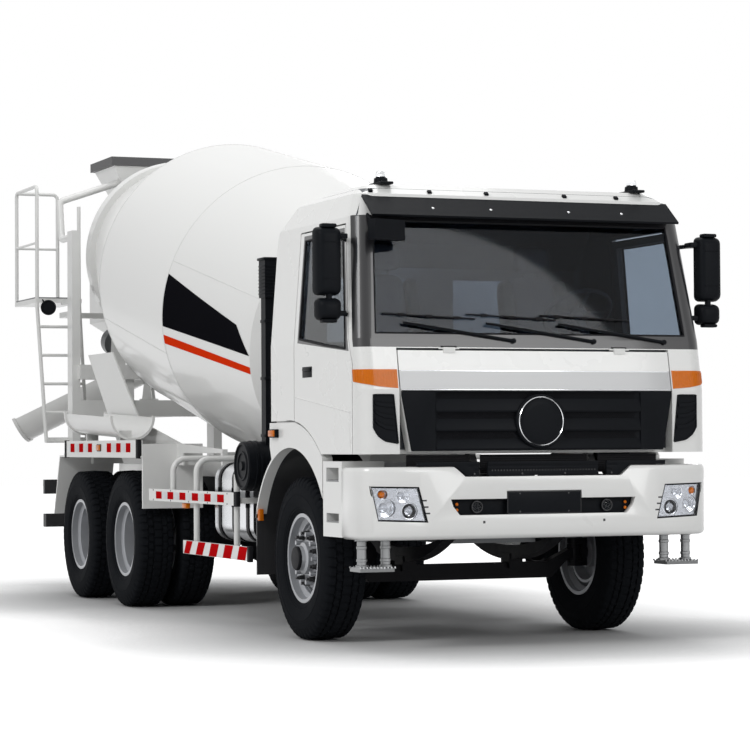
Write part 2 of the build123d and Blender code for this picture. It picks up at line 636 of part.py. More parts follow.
def rear_mudguards():
    """Flat mudguards over the twin wheels with their end plates and marker strips."""
    top_z, front_x, rear_x = SUB_TOP, MUDGUARD_FRONT_X, MUDGUARD_REAR_X
    left = span(rear_x, front_x, MUDGUARD_IN_Y, BODY_HALF_WIDTH, top_z, top_z + 14)
    left += span(front_x - 24, front_x, MUDGUARD_IN_Y, BODY_HALF_WIDTH, 800, 1310)
    slope = [(rear_x, top_z + 14), (rear_x + 20, top_z + 14), (rear_x - 180, 700), (rear_x - 200, 700)]
    left += side_plate(slope, MUDGUARD_IN_Y, BODY_HALF_WIDTH)
    marker_rear, marker_front = rear_x + 260, front_x - 70
    left += span(marker_rear, marker_front, BODY_HALF_WIDTH, MARKER_Y, top_z, top_z + 140)
    left += span(marker_rear, marker_front, BODY_HALF_WIDTH - 20, BODY_HALF_WIDTH, top_z + 10, top_z + 140)
    return both_sides(left - side_brace())


GUARD_TUBE_Z = 1196


def side_guards():
    """Striped side rails on bent tubes, the same on both sides."""
    upper = span(AXLE_2_X + 805, -1040, 1222, MARKER_Y, 870, 962)
    lower = span(AXLE_2_X + 1685, -800, 1222, MARKER_Y, 492, 590)
    left = upper + lower
    lower_post_x = AXLE_2_X + 1855
    for x, foot in ((AXLE_2_X + 1275, 900), (lower_post_x, 520)):
        route = [(x, 445, FRAME_TOP - 30), (x, 560, GUARD_TUBE_Z), (x, 1192, GUARD_TUBE_Z), (x, 1192, foot)]
        left += pipe(route, 22, 100) - span(x - 50, x + 50, 300, SUB_OUT_Y, 800, 1200)
        left += span(x - 30, x + 30, RAIL_HALF_WIDTH, 470, FRAME_TOP - 80, FRAME_TOP - 1)
        left += span(x - 16, x + 16, 1198, 1222, foot - 5, foot + 55)
    left += span(lower_post_x - 16, lower_post_x + 16, 1198, 1222, 885, 945)
    left += cylinder((-1190, 1192, 515), (0, 0, 1), 22, 575)
    for z in (525, 915):
        left += span(-1206, -1174, 1198, 1222, z - 20, z + 30)
    left += span(-1080, -1045, RAIL_HALF_WIDTH, 1222, 885, 925)
    return both_sides(left)


def rounded_tank(x0, x1, y0, y1, z0, z1, corner):
    """A tank along X with rounded corners."""
    plane = Plane.YZ.offset(min(x0, x1))
    face = plane * Pos((y0 + y1) / 2, (z0 + z1) / 2) * RectangleRounded(abs(y1 - y0), z1 - z0, corner)
    return extrude(face, amount=abs(x1 - x0))


def fuel_tank():
    """Fuel tank on the right with straps, filler cap and rail brackets."""
    body = rounded_tank(-1960, -1100, -1100, -540, 600, 1165, 120)
    for x in (-1840, -1530, -1220):
        body += rounded_tank(x - 25, x + 25, -1106, -534, 594, 1171, 124)
    body += cylinder((-1350, -900, 1165), (0, 0, 1), 60, 45)
    for x in (-1840, -1220):
        body += span(x - 30, x + 30, -560, -RAIL_HALF_WIDTH, 780, 1010)
    return body


def left_tanks():
    """Battery box, air tanks and water tank on the left."""
    battery = span(-1500, -1120, 560, 1150, 620, 1020)
    battery += span(-1420, -1200, RAIL_HALF_WIDTH, 565, 800, 1000)
    water_rear, water_front = AXLE_2_X + 1025, -1550
    water = cylinder((water_rear, 830, 800), (1, 0, 0), 245, water_front - water_rear)
    for x in (water_rear + 100, water_front - 200):
        water += span(x - 30, x + 30, RAIL_HALF_WIDTH, 700, 780, 1000)
    return battery + water


def air_intake():
    """Snorkel, duct and filter can behind the cab on the right."""
    body = span(-930, -800, -1110, -985, 2325, 2590)
    body += span(-915, -825, -1100, -1020, 960, 2330)
    body += cylinder((-915, -1235, 1150), (0, 1, 0), 172, 300)
    body += span(-890, -840, -1040, -RAIL_HALF_WIDTH, 990, 1030)
    return body


def rear_underrun():
    """Underrun beam and tail lamp boxes behind the frame."""
    front_x = FRAME_REAR_X - 75
    rear_x = front_x - 100
    body = span(rear_x, front_x, -1130, 1130, 560, 680)
    for side in (-1, 1):
        body += span(rear_x + 40, front_x, side * 350, side * RAIL_HALF_WIDTH, 600, 1000)
        body += span(rear_x + 40, FRAME_REAR_X, side * 352, side * RAIL_HALF_WIDTH, 780, 1000)
        body += span(rear_x, rear_x + 60, side * 700, side * 1130, 860, 990)
        body += span(rear_x + 40, front_x, side * 900, side * 960, 670, 870)
    return body


def trough(length, radius, wall):
    """A half-round trough along +X from the origin, its lowest line on z = 0, its ends bound by hoops."""
    ring_face = Circle(radius) - Circle(radius - wall)
    half = ring_face & (Pos(0, -radius / 2) * Rectangle(2 * radius + 2, radius))
    body = extrude(Plane.YZ * half, amount=length)
    for x in (0, length - 30):
        hoop = (Circle(radius + 12) - Circle(radius - wall)) & (Pos(0, -radius / 2) * Rectangle(2 * radius + 40, radius + 24))
        body += Pos(x, 0, 0) * extrude(Plane.YZ * hoop, amount=30)
    return Pos(0, 0, radius) * body


def spare_chute():
    """Extension trough stored over the right mudguard on two stands."""
    rear_x = AXLE_2_X - 1375
    body = Pos(rear_x, -1160, 1400) * Rot(0, 2, 0) * trough(1450, 175, 8)
    floor_z = SUB_TOP + 14
    for x in (rear_x + 200, rear_x + 1200):
        body += span(x - 15, x + 15, -1200, -1100, floor_z, 1420)
    body -= span(rear_x - 150, rear_x + 1650, -1200, -820, 1100, floor_z)
    return body


# Discharge chute, built pointing rearward and then swung to the right

def on_swivel(shape):
    return Pos(CHUTE_X, 0, 0) * Rot(0, 0, CHUTE_SWING) * shape


def chute_swivel():
    """Turning post of the chute with the lift hinge and the jack's foot."""
    top = SWIVEL_BEARING_Z + SWIVEL_BEARING_HEIGHT
    body = cylinder((0, 0, 1400), (0, 0, 1), SWIVEL_PIN_RADIUS, top + 20 - 1400)
    body += cylinder((0, 0, top + 3), (0, 0, 1), 90, 25)
    for side in (-1, 1):
        body += side_plate([(-50, top + 3), (50, top + 3), (30, CHUTE_HINGE_Z + 28), (-30, CHUTE_HINGE_Z + 28)],
                           side * 62, side * 82)
    body += span(-60, 60, -84, 84, top + 3, top + 23)
    bore = cylinder((0, -120, CHUTE_HINGE_Z), (0, 1, 0), LIFT_PIN_RADIUS + RUNNING_FIT / 2, 240)
    body -= bore
    foot_x, foot_z = JACK_FOOT
    for side in (-1, 1):
        body += span(foot_x - 24, 0, side * 30, side * 46, foot_z - 24, foot_z + 24)
    body += span(-58, 20, -46, 46, foot_z - 24, foot_z + 24)
    body += cylinder((foot_x, -46, foot_z), (0, 1, 0), JACK_PIN_RADIUS, 92)
    return on_swivel(body)


def chute():
    """Main trough with its hinge lug and pin and the lug for the jack."""
    drop = -CHUTE_SLOPE
    body = Pos(-CHUTE_LOWER, 0, 42) * trough(CHUTE_LOWER + CHUTE_UPPER, CHUTE_RADIUS, CHUTE_WALL)
    body = Rot(0, drop, 0) * body
    lug = span(-26, 26, -58, 58, -26, 55)
    body += Rot(0, drop, 0) * (lug - span(-40, 40, -70, 70, 43, 90))
    body += cylinder((0, -82, 0), (0, 1, 0), LIFT_PIN_RADIUS, 164)
    body = Pos(0, 0, CHUTE_HINGE_Z) * body
    eye_x, eye_z = JACK_EYE
    rise = CHUTE_HINGE_Z + eye_x * sin(radians(CHUTE_SLOPE)) / cos(radians(CHUTE_SLOPE)) + 46 / cos(radians(CHUTE_SLOPE))
    for side in (-1, 1):
        body += side_plate([(eye_x - 22, eye_z - 22), (eye_x + 22, eye_z - 22), (eye_x + 30, rise + 12), (eye_x - 30, rise - 14)],
                           side * 30, side * 42)
    body += cylinder((eye_x, -42, eye_z), (0, 1, 0), JACK_PIN_RADIUS, 84)
    return on_swivel(body)


JACK_RUN = (JACK_EYE[0] - JACK_FOOT[0], JACK_EYE[1] - JACK_FOOT[1])
JACK_LENGTH = sqrt(JACK_RUN[0] ** 2 + JACK_RUN[1] ** 2)
JACK_DIRECTION = (JACK_RUN[0] / JACK_LENGTH, 0, JACK_RUN[1] / JACK_LENGTH)
JACK_PLANE = Plane(origin=(JACK_FOOT[0], 0, JACK_FOOT[1]), x_dir=(0, 1, 0), z_dir=JACK_DIRECTION)
ROD_RADIUS = 16


def jack_body():
    """Barrel of the lift jack with its foot eye."""
    barrel = Pos(0, 0, 199) * Cylinder(32, 302) - Pos(0, 0, 240) * Cylinder(ROD_RADIUS + RUNNING_FIT / 2, 320)
    eye = Rot(0, 90, 0) * Cylinder(24, 50) + Pos(0, 0, 27) * Box(44, 40, 50)
    eye -= Rot(0, 90, 0) * Cylinder(JACK_PIN_RADIUS + RUNNING_FIT / 2, 80)
    return on_swivel(JACK_PLANE.location * (barrel + eye))


def jack_rod():
    """Rod of the lift jack with its upper eye."""
    start = 150
    finish = JACK_LENGTH - JACK_PIN_RADIUS - EYE_PLAY - 4
    rod = Pos(0, 0, (start + finish) / 2) * Cylinder(ROD_RADIUS, finish - start)
    eye = Pos(0, 0, JACK_LENGTH) * Rot(0, 90, 0) * Cylinder(JACK_EYE_RADIUS, 50)
    eye -= Pos(0, 0, JACK_LENGTH) * Rot(0, 90, 0) * Cylinder(JACK_PIN_RADIUS + EYE_PLAY, 80)
    return on_swivel(JACK_PLANE.location * (rod + eye))


# Front end on the chassis

def bumper_outline(inset):
    """Plan of the bumper from the wheel arch round the front, moved inward by the inset."""
    side_y = BODY_HALF_WIDTH - inset
    front_x = FRONT_OVERHANG - inset
    points = [(960, side_y), (1190, side_y), (1300, side_y - 70), (front_x - 8, 960), (front_x, 820)]
    other = [(x, -y) for x, y in reversed(points)]
    return Plane.XY * make_face(Polyline(*points, *other, close=True))


BUMPER_WALL = 50


def front_bumper():
    outer = Pos(0, 0, 700) * extrude(bumper_outline(0), amount=455)
    inner = Pos(0, 0, 650) * extrude(bumper_outline(BUMPER_WALL), amount=600)
    body = outer - inner - span(900, 965, -1300, 1300, 650, 1200)
    body -= span(1200, 1400, -545, 545, 1095, 1200)
    body -= span(1200, 1400, -645, 645, 850, 950)
    for side in (-1, 1):
        body -= span(1180, 1400, side * 830, side * 1148, 812, 1028)
        body += span(FRAME_FRONT_X, FRONT_OVERHANG - BUMPER_WALL + 5, side * 352, side * 420, 780, 840)
    return body


def headlamps():
    """Lamps that fill the bumper's corner openings."""
    solid = Pos(0, 0, 700) * extrude(bumper_outline(6), amount=455)
    back = Pos(0, 0, 650) * extrude(bumper_outline(BUMPER_WALL + 40), amount=600)
    left = (solid - back) & span(1180, 1400, 830, 1148, 812, 1028)
    return both_sides(left)


def bumper_slot():
    """Dark insert of the middle slot with the fog lamps and a blank plate."""
    x = FRONT_OVERHANG - BUMPER_WALL
    body = span(x - 30, x, -655, 655, 845, 955)
    for side in (-1, 1):
        body += span(x, x + 22, side * 430, side * 560, 866, 934)
    body += span(x, x + 44, -260, 260, 852, 948)
    return body


def cab_steps():
    """Step boxes under the doors and the hanging steps under the bumper's ends."""
    left = span(620, 955, 930, 1220, 710, 1190)
    left -= span(680, 900, 1120, 1230, 1060, 1150)
    left -= span(680, 900, 1120, 1230, 800, 860)
    left += span(700, 760, RAIL_HALF_WIDTH, 935, 900, 960)
    hanging = span(1010, 1190, 960, 1190, 500, 522)
    for y in (985, 1145):
        hanging += span(1090, 1110, y - 12, y + 12, 515, 800)
    hanging += span(1090, 1110, 960, BODY_HALF_WIDTH - BUMPER_WALL, 790, 812)
    return both_sides(left) + both_sides(hanging)


ARCH_INNER = 735
ARCH_OUTER = 905


def front_mudguards():
    """Skirts and inner arches over the steered wheels, with the flaps behind them."""
    z = TYRE_RADIUS
    hub = (0, 0, z)
    sector = side_plate([(-400, 1280), (-400, 1445), (610, 1445), (610, 1000), (0, z), (-250, 900)], 1150, BODY_HALF_WIDTH - 3)
    ring_solid = cylinder((0, 1150, z), (0, 1, 0), ARCH_OUTER, 72) - cylinder((0, 1100, z), (0, 1, 0), ARCH_INNER, 200)
    skirt = sector & ring_solid
    skirt += span(-400, 95, 1150, BODY_HALF_WIDTH - 3, 1290, 1445)
    arch = cylinder((0, 850, z), (0, 1, 0), ARCH_INNER + 16, 372) - cylinder((0, 800, z), (0, 1, 0), ARCH_INNER, 500)
    arch &= side_plate([(-800, 800), (-800, 1500), (612, 1500), (612, 950), (0, 760)], 800, 1300)
    flap = span(-750, -735, 850, 1200, 400, 870)
    body = skirt + arch + flap
    body += span(-745, -690, RAIL_HALF_WIDTH, 880, 820, 860)
    body += span(560, 600, RAIL_HALF_WIDTH, 905, 985, 1015)
    return both_sides(body)


# Cab. Each row is height, front x, half width, corner radius

CAB_OUTER = [
    (CAB_LOW_Z - 5, 1285, 1225, 110), (1640, 1285, 1225, 110), (BELT_Z, 1222, 1225, 110),
    (SCREEN_TOP_Z, 1050, 1165, 110), (ROOF_EDGE_Z, 990, 1110, 110), (ROOF_Z, 900, 1010, 110),
]
CAB_INNER = [
    (CAB_LOW_Z - 5, 1130, 1170, 60), (1900, 1130, 1170, 60), (BELT_Z + 5, 1160, 1170, 60),
    (SCREEN_TOP_Z, 995, 1110, 60), (ROOF_EDGE_Z - 50, 945, 1060, 60), (ROOF_Z - 55, 860, 960, 60),
]
ROOF_REAR_OUTER = [(200, ROOF_Z), (-120, 2885), (-330, 2730), (CAB_REAR_X, 2540)]
ROOF_REAR_INNER = [(215, ROOF_Z - 55), (-95, 2826), (-290, 2682), (CAB_REAR_X + CAB_WALL, 2520)]


def cab_form(rows, rear_x, shrink=0):
    """A solid through rounded plan sections, moved inward by a small distance."""
    faces = []
    for z, front_x, half, corner in rows:
        length = front_x - rear_x - 2 * shrink
        plan = RectangleRounded(length, 2 * (half - shrink), corner - shrink)
        faces.append(Pos(rear_x + shrink + length / 2, 0, z) * plan)
    return loft(faces, ruled=True)


def roof_cut(line, floor_arc):
    """Everything above the sloping rear of the roof and inside the wheel arch."""
    above = side_plate([(-2000, 3500), (-2000, line[-1][1]), (line[-1][0], line[-1][1]), *reversed(line[:-1]), (200, 3500)],
                       -1400, 1400)
    arch = cylinder((0, -1400, TYRE_RADIUS), (0, 1, 0), floor_arc, 2800)
    return above, arch


DOOR_ARC = 917


def cab_block():
    """The outer form of the cab."""
    solid = cab_form(CAB_OUTER, CAB_REAR_X)
    above, arch = roof_cut(ROOF_REAR_OUTER, DOOR_ARC)
    solid = solid - above - arch
    solid -= span(-800, 95, -1400, 1400, 1000, CAB_STEP_Z)
    solid -= span(-800, 2000, -1400, 1400, 1000, CAB_LOW_Z)
    return solid


def cab_cavity():
    """The room inside the cab."""
    solid = cab_form(CAB_INNER, CAB_REAR_X + CAB_WALL)
    above, arch = roof_cut(ROOF_REAR_INNER, DOOR_ARC + CAB_WALL)
    solid = solid - above - arch
    solid -= span(-800, 105, -1400, 1400, 1000, CAB_STEP_Z + CAB_WALL)
    solid -= span(-800, 2000, -1400, 1400, 1000, CAB_LOW_Z + CAB_WALL)
    return solid


def door_outline(gap):
    """Door edge in X and Z; the wheel arch cuts its lower rear corner."""
    outline = side_plate(
        [
            (DOOR_REAR_X + gap, CAB_LOW_Z - 20), (DOOR_REAR_X + gap, DOOR_TOP_Z - gap),
            (922 - gap, DOOR_TOP_Z - gap), (1104 - gap, BELT_Z), (DOOR_FRONT_X + 15 - gap, 1800),
            (DOOR_FRONT_X + 15 - gap, CAB_LOW_Z - 20),
        ],
        1060, 1300,
    )
    return outline


def side_window(grow):
    """Door window opening in X and Z."""
    g = grow
    return side_plate(
        [
            (200 - g, 1990 - g), (200 - g, 2640 + g), (880 + g / 2, 2640 + g), (1030 + g, 2000), (1040 + g, 1900 - g),
            (700, 1930 - g),
        ],
        1000, 1300,
    )


def screen_opening():
    """Windscreen opening seen from the front."""
    return cross_plate([(-1090, 1990), (1090, 1990), (1040, 2715), (-1040, 2715)], 850, 1400)


CAB_EAR = [(1100, 1255), (1180, 1255), (1180, 1225), (1252, 1108), (1268, 1060), (1268, 1012), (1200, 1012), (1100, 1180)]
REAR_WINDOWS = [(-800, -140), (140, 800)]
GLASS_OUT = 14
GLASS_THICKNESS = 6


def cab():
    """Cab body, doors, glass and everything that rides on them."""
    block, cavity = cab_block(), cab_cavity()
    walls = block - cavity
    layer = cab_form(CAB_OUTER, CAB_REAR_X, GLASS_OUT) - cab_form(CAB_OUTER, CAB_REAR_X, GLASS_OUT + GLASS_THICKNESS)

    lid_space = span(1185, 1400, -LID_TOP_HALF - 8, LID_TOP_HALF + 8, CAB_LOW_Z - 10, LID_TOP_Z + 10)
    lid_outline = cross_plate(
        [
            (-LID_LOW_HALF, CAB_LOW_Z + 15), (LID_LOW_HALF, CAB_LOW_Z + 15), (LID_TOP_HALF, 1600),
            (LID_TOP_HALF, LID_TOP_Z - 5), (-LID_TOP_HALF, LID_TOP_Z - 5), (-LID_TOP_HALF, 1600),
        ],
        1000, 1400,
    )
    lid = block & lid_outline & span(1200, 1400, -1300, 1300, 1000, 2000)
    shell = walls - lid_space
    for side in (-1, 1):
        lid += span(1228, 1246, side * 560, side * 640, LID_TOP_Z - 20, LID_HINGE_Z)
        lid += cylinder((LID_HINGE_X, side * 600 - 40, LID_HINGE_Z), (0, 1, 0), 9, 80)
        shell -= cylinder((LID_HINGE_X, side * 600 - 55, LID_HINGE_Z), (0, 1, 0), 17, 110)
        shell += cylinder((LID_HINGE_X, side * 600 - 70, LID_HINGE_Z), (0, 1, 0), LID_PIN_RADIUS, 140)
    lid -= cylinder((LID_HINGE_X, -700, LID_HINGE_Z), (0, 1, 0), LID_PIN_RADIUS + RUNNING_FIT / 2, 1400)
    save("front_lid", lid)
    left_gap = door_outline(0) - cab_form(CAB_OUTER, CAB_REAR_X, CAB_WALL + DOOR_LAP)
    shell -= left_gap
    shell -= mirror(left_gap, about=Plane.XZ)
    shell -= screen_opening()
    for y0, y1 in REAR_WINDOWS:
        shell -= span(CAB_REAR_X - 20, CAB_REAR_X + 80, y0, y1, 2000, 2440)
    for side in (-1, 1):
        shell += side_plate(CAB_EAR, side * (PIVOT_EAR_Y + 4), side * (PIVOT_EAR_Y + 44))
    shell -= cylinder((CAB_PIVOT_X, -600, CAB_PIVOT_Z), (0, 1, 0), CAB_PIN_RADIUS + RUNNING_FIT / 2, 1200)
    save("cab_shell", shell)

    panes = layer & screen_opening()
    for y0, y1 in REAR_WINDOWS:
        panes += span(CAB_REAR_X + 20, CAB_REAR_X + 26, y0, y1, 2000, 2440)
    save("cab_glass", panes)

    panel = (block - cab_form(CAB_OUTER, CAB_REAR_X, CAB_WALL)) & door_outline(PANEL_GAP)
    panel -= side_window(0)
    glass = layer & side_window(0) & span(0, 1400, 1000, 1400, 1500, 2800)
    for side, hand in ((1, "left"), (-1, "right")):
        place = (lambda shape: shape) if side == 1 else (lambda shape: mirror(shape, about=Plane.XZ))
        save(f"door_{hand}", place(panel))
        save(f"door_glass_{hand}", place(glass))
        save(f"door_mirrors_{hand}", place(door_mirrors(block)))

    save("cab_fittings", (sun_visor() + roof_beacons() + front_mirror() + wipers()) - block)
    save("dashboard", dashboard())
    save("seats", seats())


def door_mirrors(block):
    """Two mirror housings on their arms, on the left door."""
    housing = rounded_tank(1030, 1125, 1262, 1440, 2230, 2660, 40)
    housing += rounded_tank(1035, 1120, 1262, 1430, 2075, 2215, 40)
    housing += span(1060, 1090, 1330, 1360, 2200, 2240)
    body = housing
    body += pipe([(915, 1150, 2590), (1000, 1260, 2600), (1060, 1300, 2600)], 14, 20)
    body += pipe([(1040, 1210, 2110), (1060, 1300, 2130)], 14)
    return body - block


def sun_visor():
    """Dark visor over the windscreen."""
    return side_plate([(985, 2880), (1165, 2742), (1157, 2731), (975, 2868)], -1085, 1085)


def roof_beacons():
    """Two small lamps on the roof's front corners."""
    left = cylinder((850, 900, ROOF_Z - 120), (0, 0, 1), 32, 175)
    return both_sides(left)


def front_mirror():
    """Kerb mirror on an arm over the right corner of the windscreen."""
    body = Pos(1190, -1000, 2640) * Rot(0, 0, 20) * Box(70, 250, 130)
    body += pipe([(985, -1075, 2780), (1100, -1060, 2700), (1190, -1040, 2660)], 14, 30)
    return body


def wipers():
    """Three arms and blades lying along the bottom of the windscreen."""
    body = None
    for pivot_y, tip_y in ((-150, -900), (420, -330), (930, 180)):
        arm = pipe([(1238, pivot_y, 1950), (1213, tip_y, 2060)], 9)
        arm += cylinder((1200, pivot_y, 1950), (1, 0, 0), 16, 40)
        body = arm if body is None else body + arm
    return body


def dashboard():
    """Dashboard with the steering column and wheel on the left."""
    points = [(1130, 1450), (1130, 1890), (1120, 1955), (900, 1975), (830, 1900), (900, 1650), (1000, 1450)]
    body = side_plate(points, -1095, 1095)
    column_start, column_direction = (960, 540, 1900), (-0.62, 0, 0.78)
    body += cylinder(column_start, column_direction, 28, 330)
    wheel = Plane(origin=(960 - 0.62 * 330, 540, 1900 + 0.78 * 330), z_dir=column_direction)
    body += wheel.location * (Torus(225, 15) + Cylinder(60, 34) + Box(430, 26, 14) + Box(26, 430, 14))
    return body


def seats():
    """Driver's and passenger's seats."""
    left = span(60, 480, 330, 800, 1400, 1760)
    left -= cylinder((0, 200, TYRE_RADIUS), (0, 1, 0), DOOR_ARC + CAB_WALL, 800)
    left -= span(0, 105, 200, 900, 1300, CAB_STEP_Z + CAB_WALL)
    left += span(30, 560, 300, 820, 1750, 1880)
    left += side_plate([(30, 1850), (150, 1850), (10, 2450), (-100, 2450)], 310, 810)
    left += side_plate([(-20, 2470), (70, 2470), (30, 2650), (-60, 2650)], 430, 690)
    left += side_plate([(0, 2440), (20, 2440), (20, 2480), (0, 2480)], 480, 500)
    left += side_plate([(0, 2440), (20, 2440), (20, 2480), (0, 2480)], 620, 640)
    return both_sides(left)


save("chassis_frame", chassis_frame())
save("front_axle", front_axle())
save("knuckle_right", knuckle(-1))
save("knuckle_left", knuckle(1))
save("engine", engine())
save("rear_axles", rear_axles())
save("rear_springs", rear_springs())
wheels()

save("body_frame", body_frame())
save("front_pedestal", front_pedestal())
save("rear_pedestal", rear_pedestal())
save("drum", drum())
save("drum_roller_right", drum_roller(-1))
save("drum_roller_left", drum_roller(1))
save("discharge_hopper", discharge_hopper())
save("charging_hopper", charging_hopper())
save("platform_and_ladder", platform_and_ladder())
save("rear_mudguards", rear_mudguards())
save("side_guards", side_guards())
save("fuel_tank", fuel_tank())
save("left_tanks", left_tanks())
save("air_intake", air_intake())
save("rear_underrun", rear_underrun())
save("spare_chute", spare_chute())

save("chute_swivel", chute_swivel())
save("chute", chute())
save("jack_body", jack_body())
save("jack_rod", jack_rod())

save("front_bumper", front_bumper())
save("headlamps", headlamps())
save("bumper_slot", bumper_slot())
save("cab_steps", cab_steps())
save("front_mudguards", front_mudguards())
cab()
write_parts()
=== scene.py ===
import bmesh
import bpy
import json
import math
from mathutils import Matrix, Vector


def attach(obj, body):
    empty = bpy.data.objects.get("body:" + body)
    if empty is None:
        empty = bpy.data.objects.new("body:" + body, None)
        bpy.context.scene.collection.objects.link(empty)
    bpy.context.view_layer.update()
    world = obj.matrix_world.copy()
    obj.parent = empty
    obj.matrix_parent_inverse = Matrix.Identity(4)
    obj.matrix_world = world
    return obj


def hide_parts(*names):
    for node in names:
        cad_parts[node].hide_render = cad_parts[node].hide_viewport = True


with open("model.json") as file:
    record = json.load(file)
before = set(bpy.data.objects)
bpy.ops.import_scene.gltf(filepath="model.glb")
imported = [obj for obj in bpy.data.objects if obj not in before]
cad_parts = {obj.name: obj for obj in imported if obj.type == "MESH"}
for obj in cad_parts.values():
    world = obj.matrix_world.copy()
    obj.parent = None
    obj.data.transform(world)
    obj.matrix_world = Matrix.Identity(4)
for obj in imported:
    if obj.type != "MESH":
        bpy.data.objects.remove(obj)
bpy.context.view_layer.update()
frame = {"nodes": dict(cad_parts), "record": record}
NODES = frame["nodes"]
SIDES = ((-1, "right"), (1, "left"))
FORWARD = (1, 0, 0)
UP = (0, 0, 1)

# Distance from the front axle to the frame's origin
SHIFT = 3.3866

# Wheels
AXLES = {"1": 0.0, "2": -3.975, "3": -5.325}
TYRE_RADIUS = 0.542
BEAD_RADIUS = 0.2863
FRONT_WHEEL_Y = 1.015
TWIN_WHEEL_Y = 0.914
TWIN_HALF_GAP = 0.173
BOLT_CIRCLE = 0.167
WHEEL_BOLTS = 10

# Drum axis, and its outer radius at stations along it
DRUM_START = (-1.0, 0.0, 1.932)
DRUM_TILT = math.radians(11.6)
DRUM_PROFILE = [(0.265, 0.870), (0.400, 1.020), (2.140, 1.152), (3.970, 1.152), (5.440, 0.790)]


def at(x, y, z):
    """A point given from the front axle, in the row frame."""
    return Vector((x + SHIFT, y, z))


# Materials

def add_node(tree, kind, inputs=(), **settings):
    """Outputs of a new shader node; each input takes a value or the output that feeds it."""
    node = tree.nodes.new("ShaderNode" + kind)
    for name, value in settings.items():
        setattr(node, name, value)
    for name, value in dict(inputs).items():
        if isinstance(value, bpy.types.NodeSocket):
            tree.links.new(value, node.inputs[name])
        else:
            node.inputs[name].default_value = value
    return node.outputs


def combine(tree, operation, first, second):
    """Result of a sum on two values or outputs."""
    return add_node(tree, "Math", {0: first, 1: second}, operation=operation)["Value"]


def mix(tree, kind, factor, first, second):
    """A blend of two colours or numbers."""
    return add_node(tree, "Mix", {"Factor": factor, "A": first, "B": second}, data_type=kind)["Result"]


def noise(tree, scale, detail, stretch):
    """Noise over the object's own coordinates."""
    coords = add_node(tree, "TexCoord")["Object"]
    placed = add_node(tree, "Mapping", {"Vector": coords, "Scale": stretch})["Vector"]
    return add_node(tree, "TexNoise", {"Vector": placed, "Scale": scale, "Detail": detail})["Fac"]


def zone_mask(tree, walls):
    """1 inside the half-spaces given as (normal, distance), with y taken from the middle plane."""
    coords = add_node(tree, "TexCoord")["Object"]
    split = add_node(tree, "SeparateXYZ", {"Vector": coords})
    side = add_node(tree, "Math", {0: split["Y"]}, operation="ABSOLUTE")["Value"]
    place = add_node(tree, "CombineXYZ", {"X": split["X"], "Y": side, "Z": split["Z"]})["Vector"]
    mask = None
    for normal, distance in walls:
        reach = add_node(tree, "VectorMath", {0: place, 1: normal}, operation="DOT_PRODUCT")["Value"]
        inside = combine(tree, "GREATER_THAN", reach, distance)
        mask = inside if mask is None else combine(tree, "MULTIPLY", mask, inside)
    return mask


def material(name, colour, rough, metal=0.0, coat=0.0, vary=0.05, scale=6.0, bump=0.0, bump_scale=60.0,
             stretch=(1, 1, 1), transmission=0.0, ior=1.45, specular=0.5, zones=()):
    """A procedural material: noise shifts its colour and roughness a little, and may roughen its surface.

    Each zone is (walls, colour, roughness) and paints the part of the surface inside its walls.
    """
    mat = bpy.data.materials.new(name)
    mat.use_nodes = True
    tree = mat.node_tree
    shader = tree.nodes["Principled BSDF"].inputs
    for key, value in (("Metallic", metal), ("Coat Weight", coat), ("Coat Roughness", 0.06), ("IOR", ior),
                       ("Transmission Weight", transmission), ("Specular IOR Level", specular)):
        shader[key].default_value = value
    spread = noise(tree, scale, 5.0, stretch)
    low, high = [(*[min(1.0, c * share) for c in colour], 1) for share in (1 - vary, 1 + vary)]
    tint = mix(tree, "RGBA", spread, low, high)
    sheen = add_node(tree, "MapRange", {"Value": spread, "To Min": max(0.02, rough * 0.8),
                                        "To Max": min(1.0, rough * 1.2)})["Result"]
    for walls, zone_colour, zone_rough in zones:
        mask = zone_mask(tree, walls)
        tint = mix(tree, "RGBA", mask, tint, (*zone_colour, 1))
        sheen = mix(tree, "FLOAT", mask, sheen, zone_rough)
    tree.links.new(tint, shader["Base Color"])
    tree.links.new(sheen, shader["Roughness"])
    if bump > 0:
        height = noise(tree, bump_scale, 3.0, stretch)
        relief = add_node(tree, "Bump", {"Height": height, "Strength": bump, "Distance": 0.003})["Normal"]
        tree.links.new(relief, shader["Normal"])
    return mat


def slab(x=None, y=None, z=None):
    """Walls of a box zone from its limits along each axis, x from the front axle."""
    walls = []
    for axis, limits, shift in (((1, 0, 0), x, SHIFT), ((0, 1, 0), y, 0.0), ((0, 0, 1), z, 0.0)):
        if limits:
            walls.append((axis, limits[0] + shift))
            walls.append((tuple(-c for c in axis), -(limits[1] + shift)))
    return walls


def below_line(x0, z0, x1, z1):
    """The half-space under a line through two points given from the front axle."""
    lean = (z1 - z0) / (x1 - x0)
    return ((lean, 0, -1), lean * (x0 + SHIFT) - z0)


WHITE = (0.79, 0.79, 0.775)
BLACK = (0.009, 0.009, 0.011)
DARK_RUBBER = (0.014, 0.014, 0.016)
TRIM_GREY_AND_PAINTED_SHADE = (0.030, 0.034, 0.043)
STEP_GREY = (0.20, 0.205, 0.21)
BAND_SILVER = (0.47, 0.475, 0.48)

# The windscreen leans back; its surround is black out to the rounded corners
SCREEN_LEAN = 172 / 780
SCREEN_ZONE = [((1, 0, SCREEN_LEAN), 1.222 + SHIFT + SCREEN_LEAN * 1.960 - 0.075), *slab(z=(1.905, 2.745))]
WINDOW_ZONE = [
    *slab(x=(0.165, 1.2), z=(1.86, 2.672)),
    ((-0.95, 0, -0.235), -(0.95 * (1.075 + SHIFT) + 0.235 * 1.985)),
    ((0.09, 0, 1), 1.965 + 0.09 * (0.17 + SHIFT)),
]
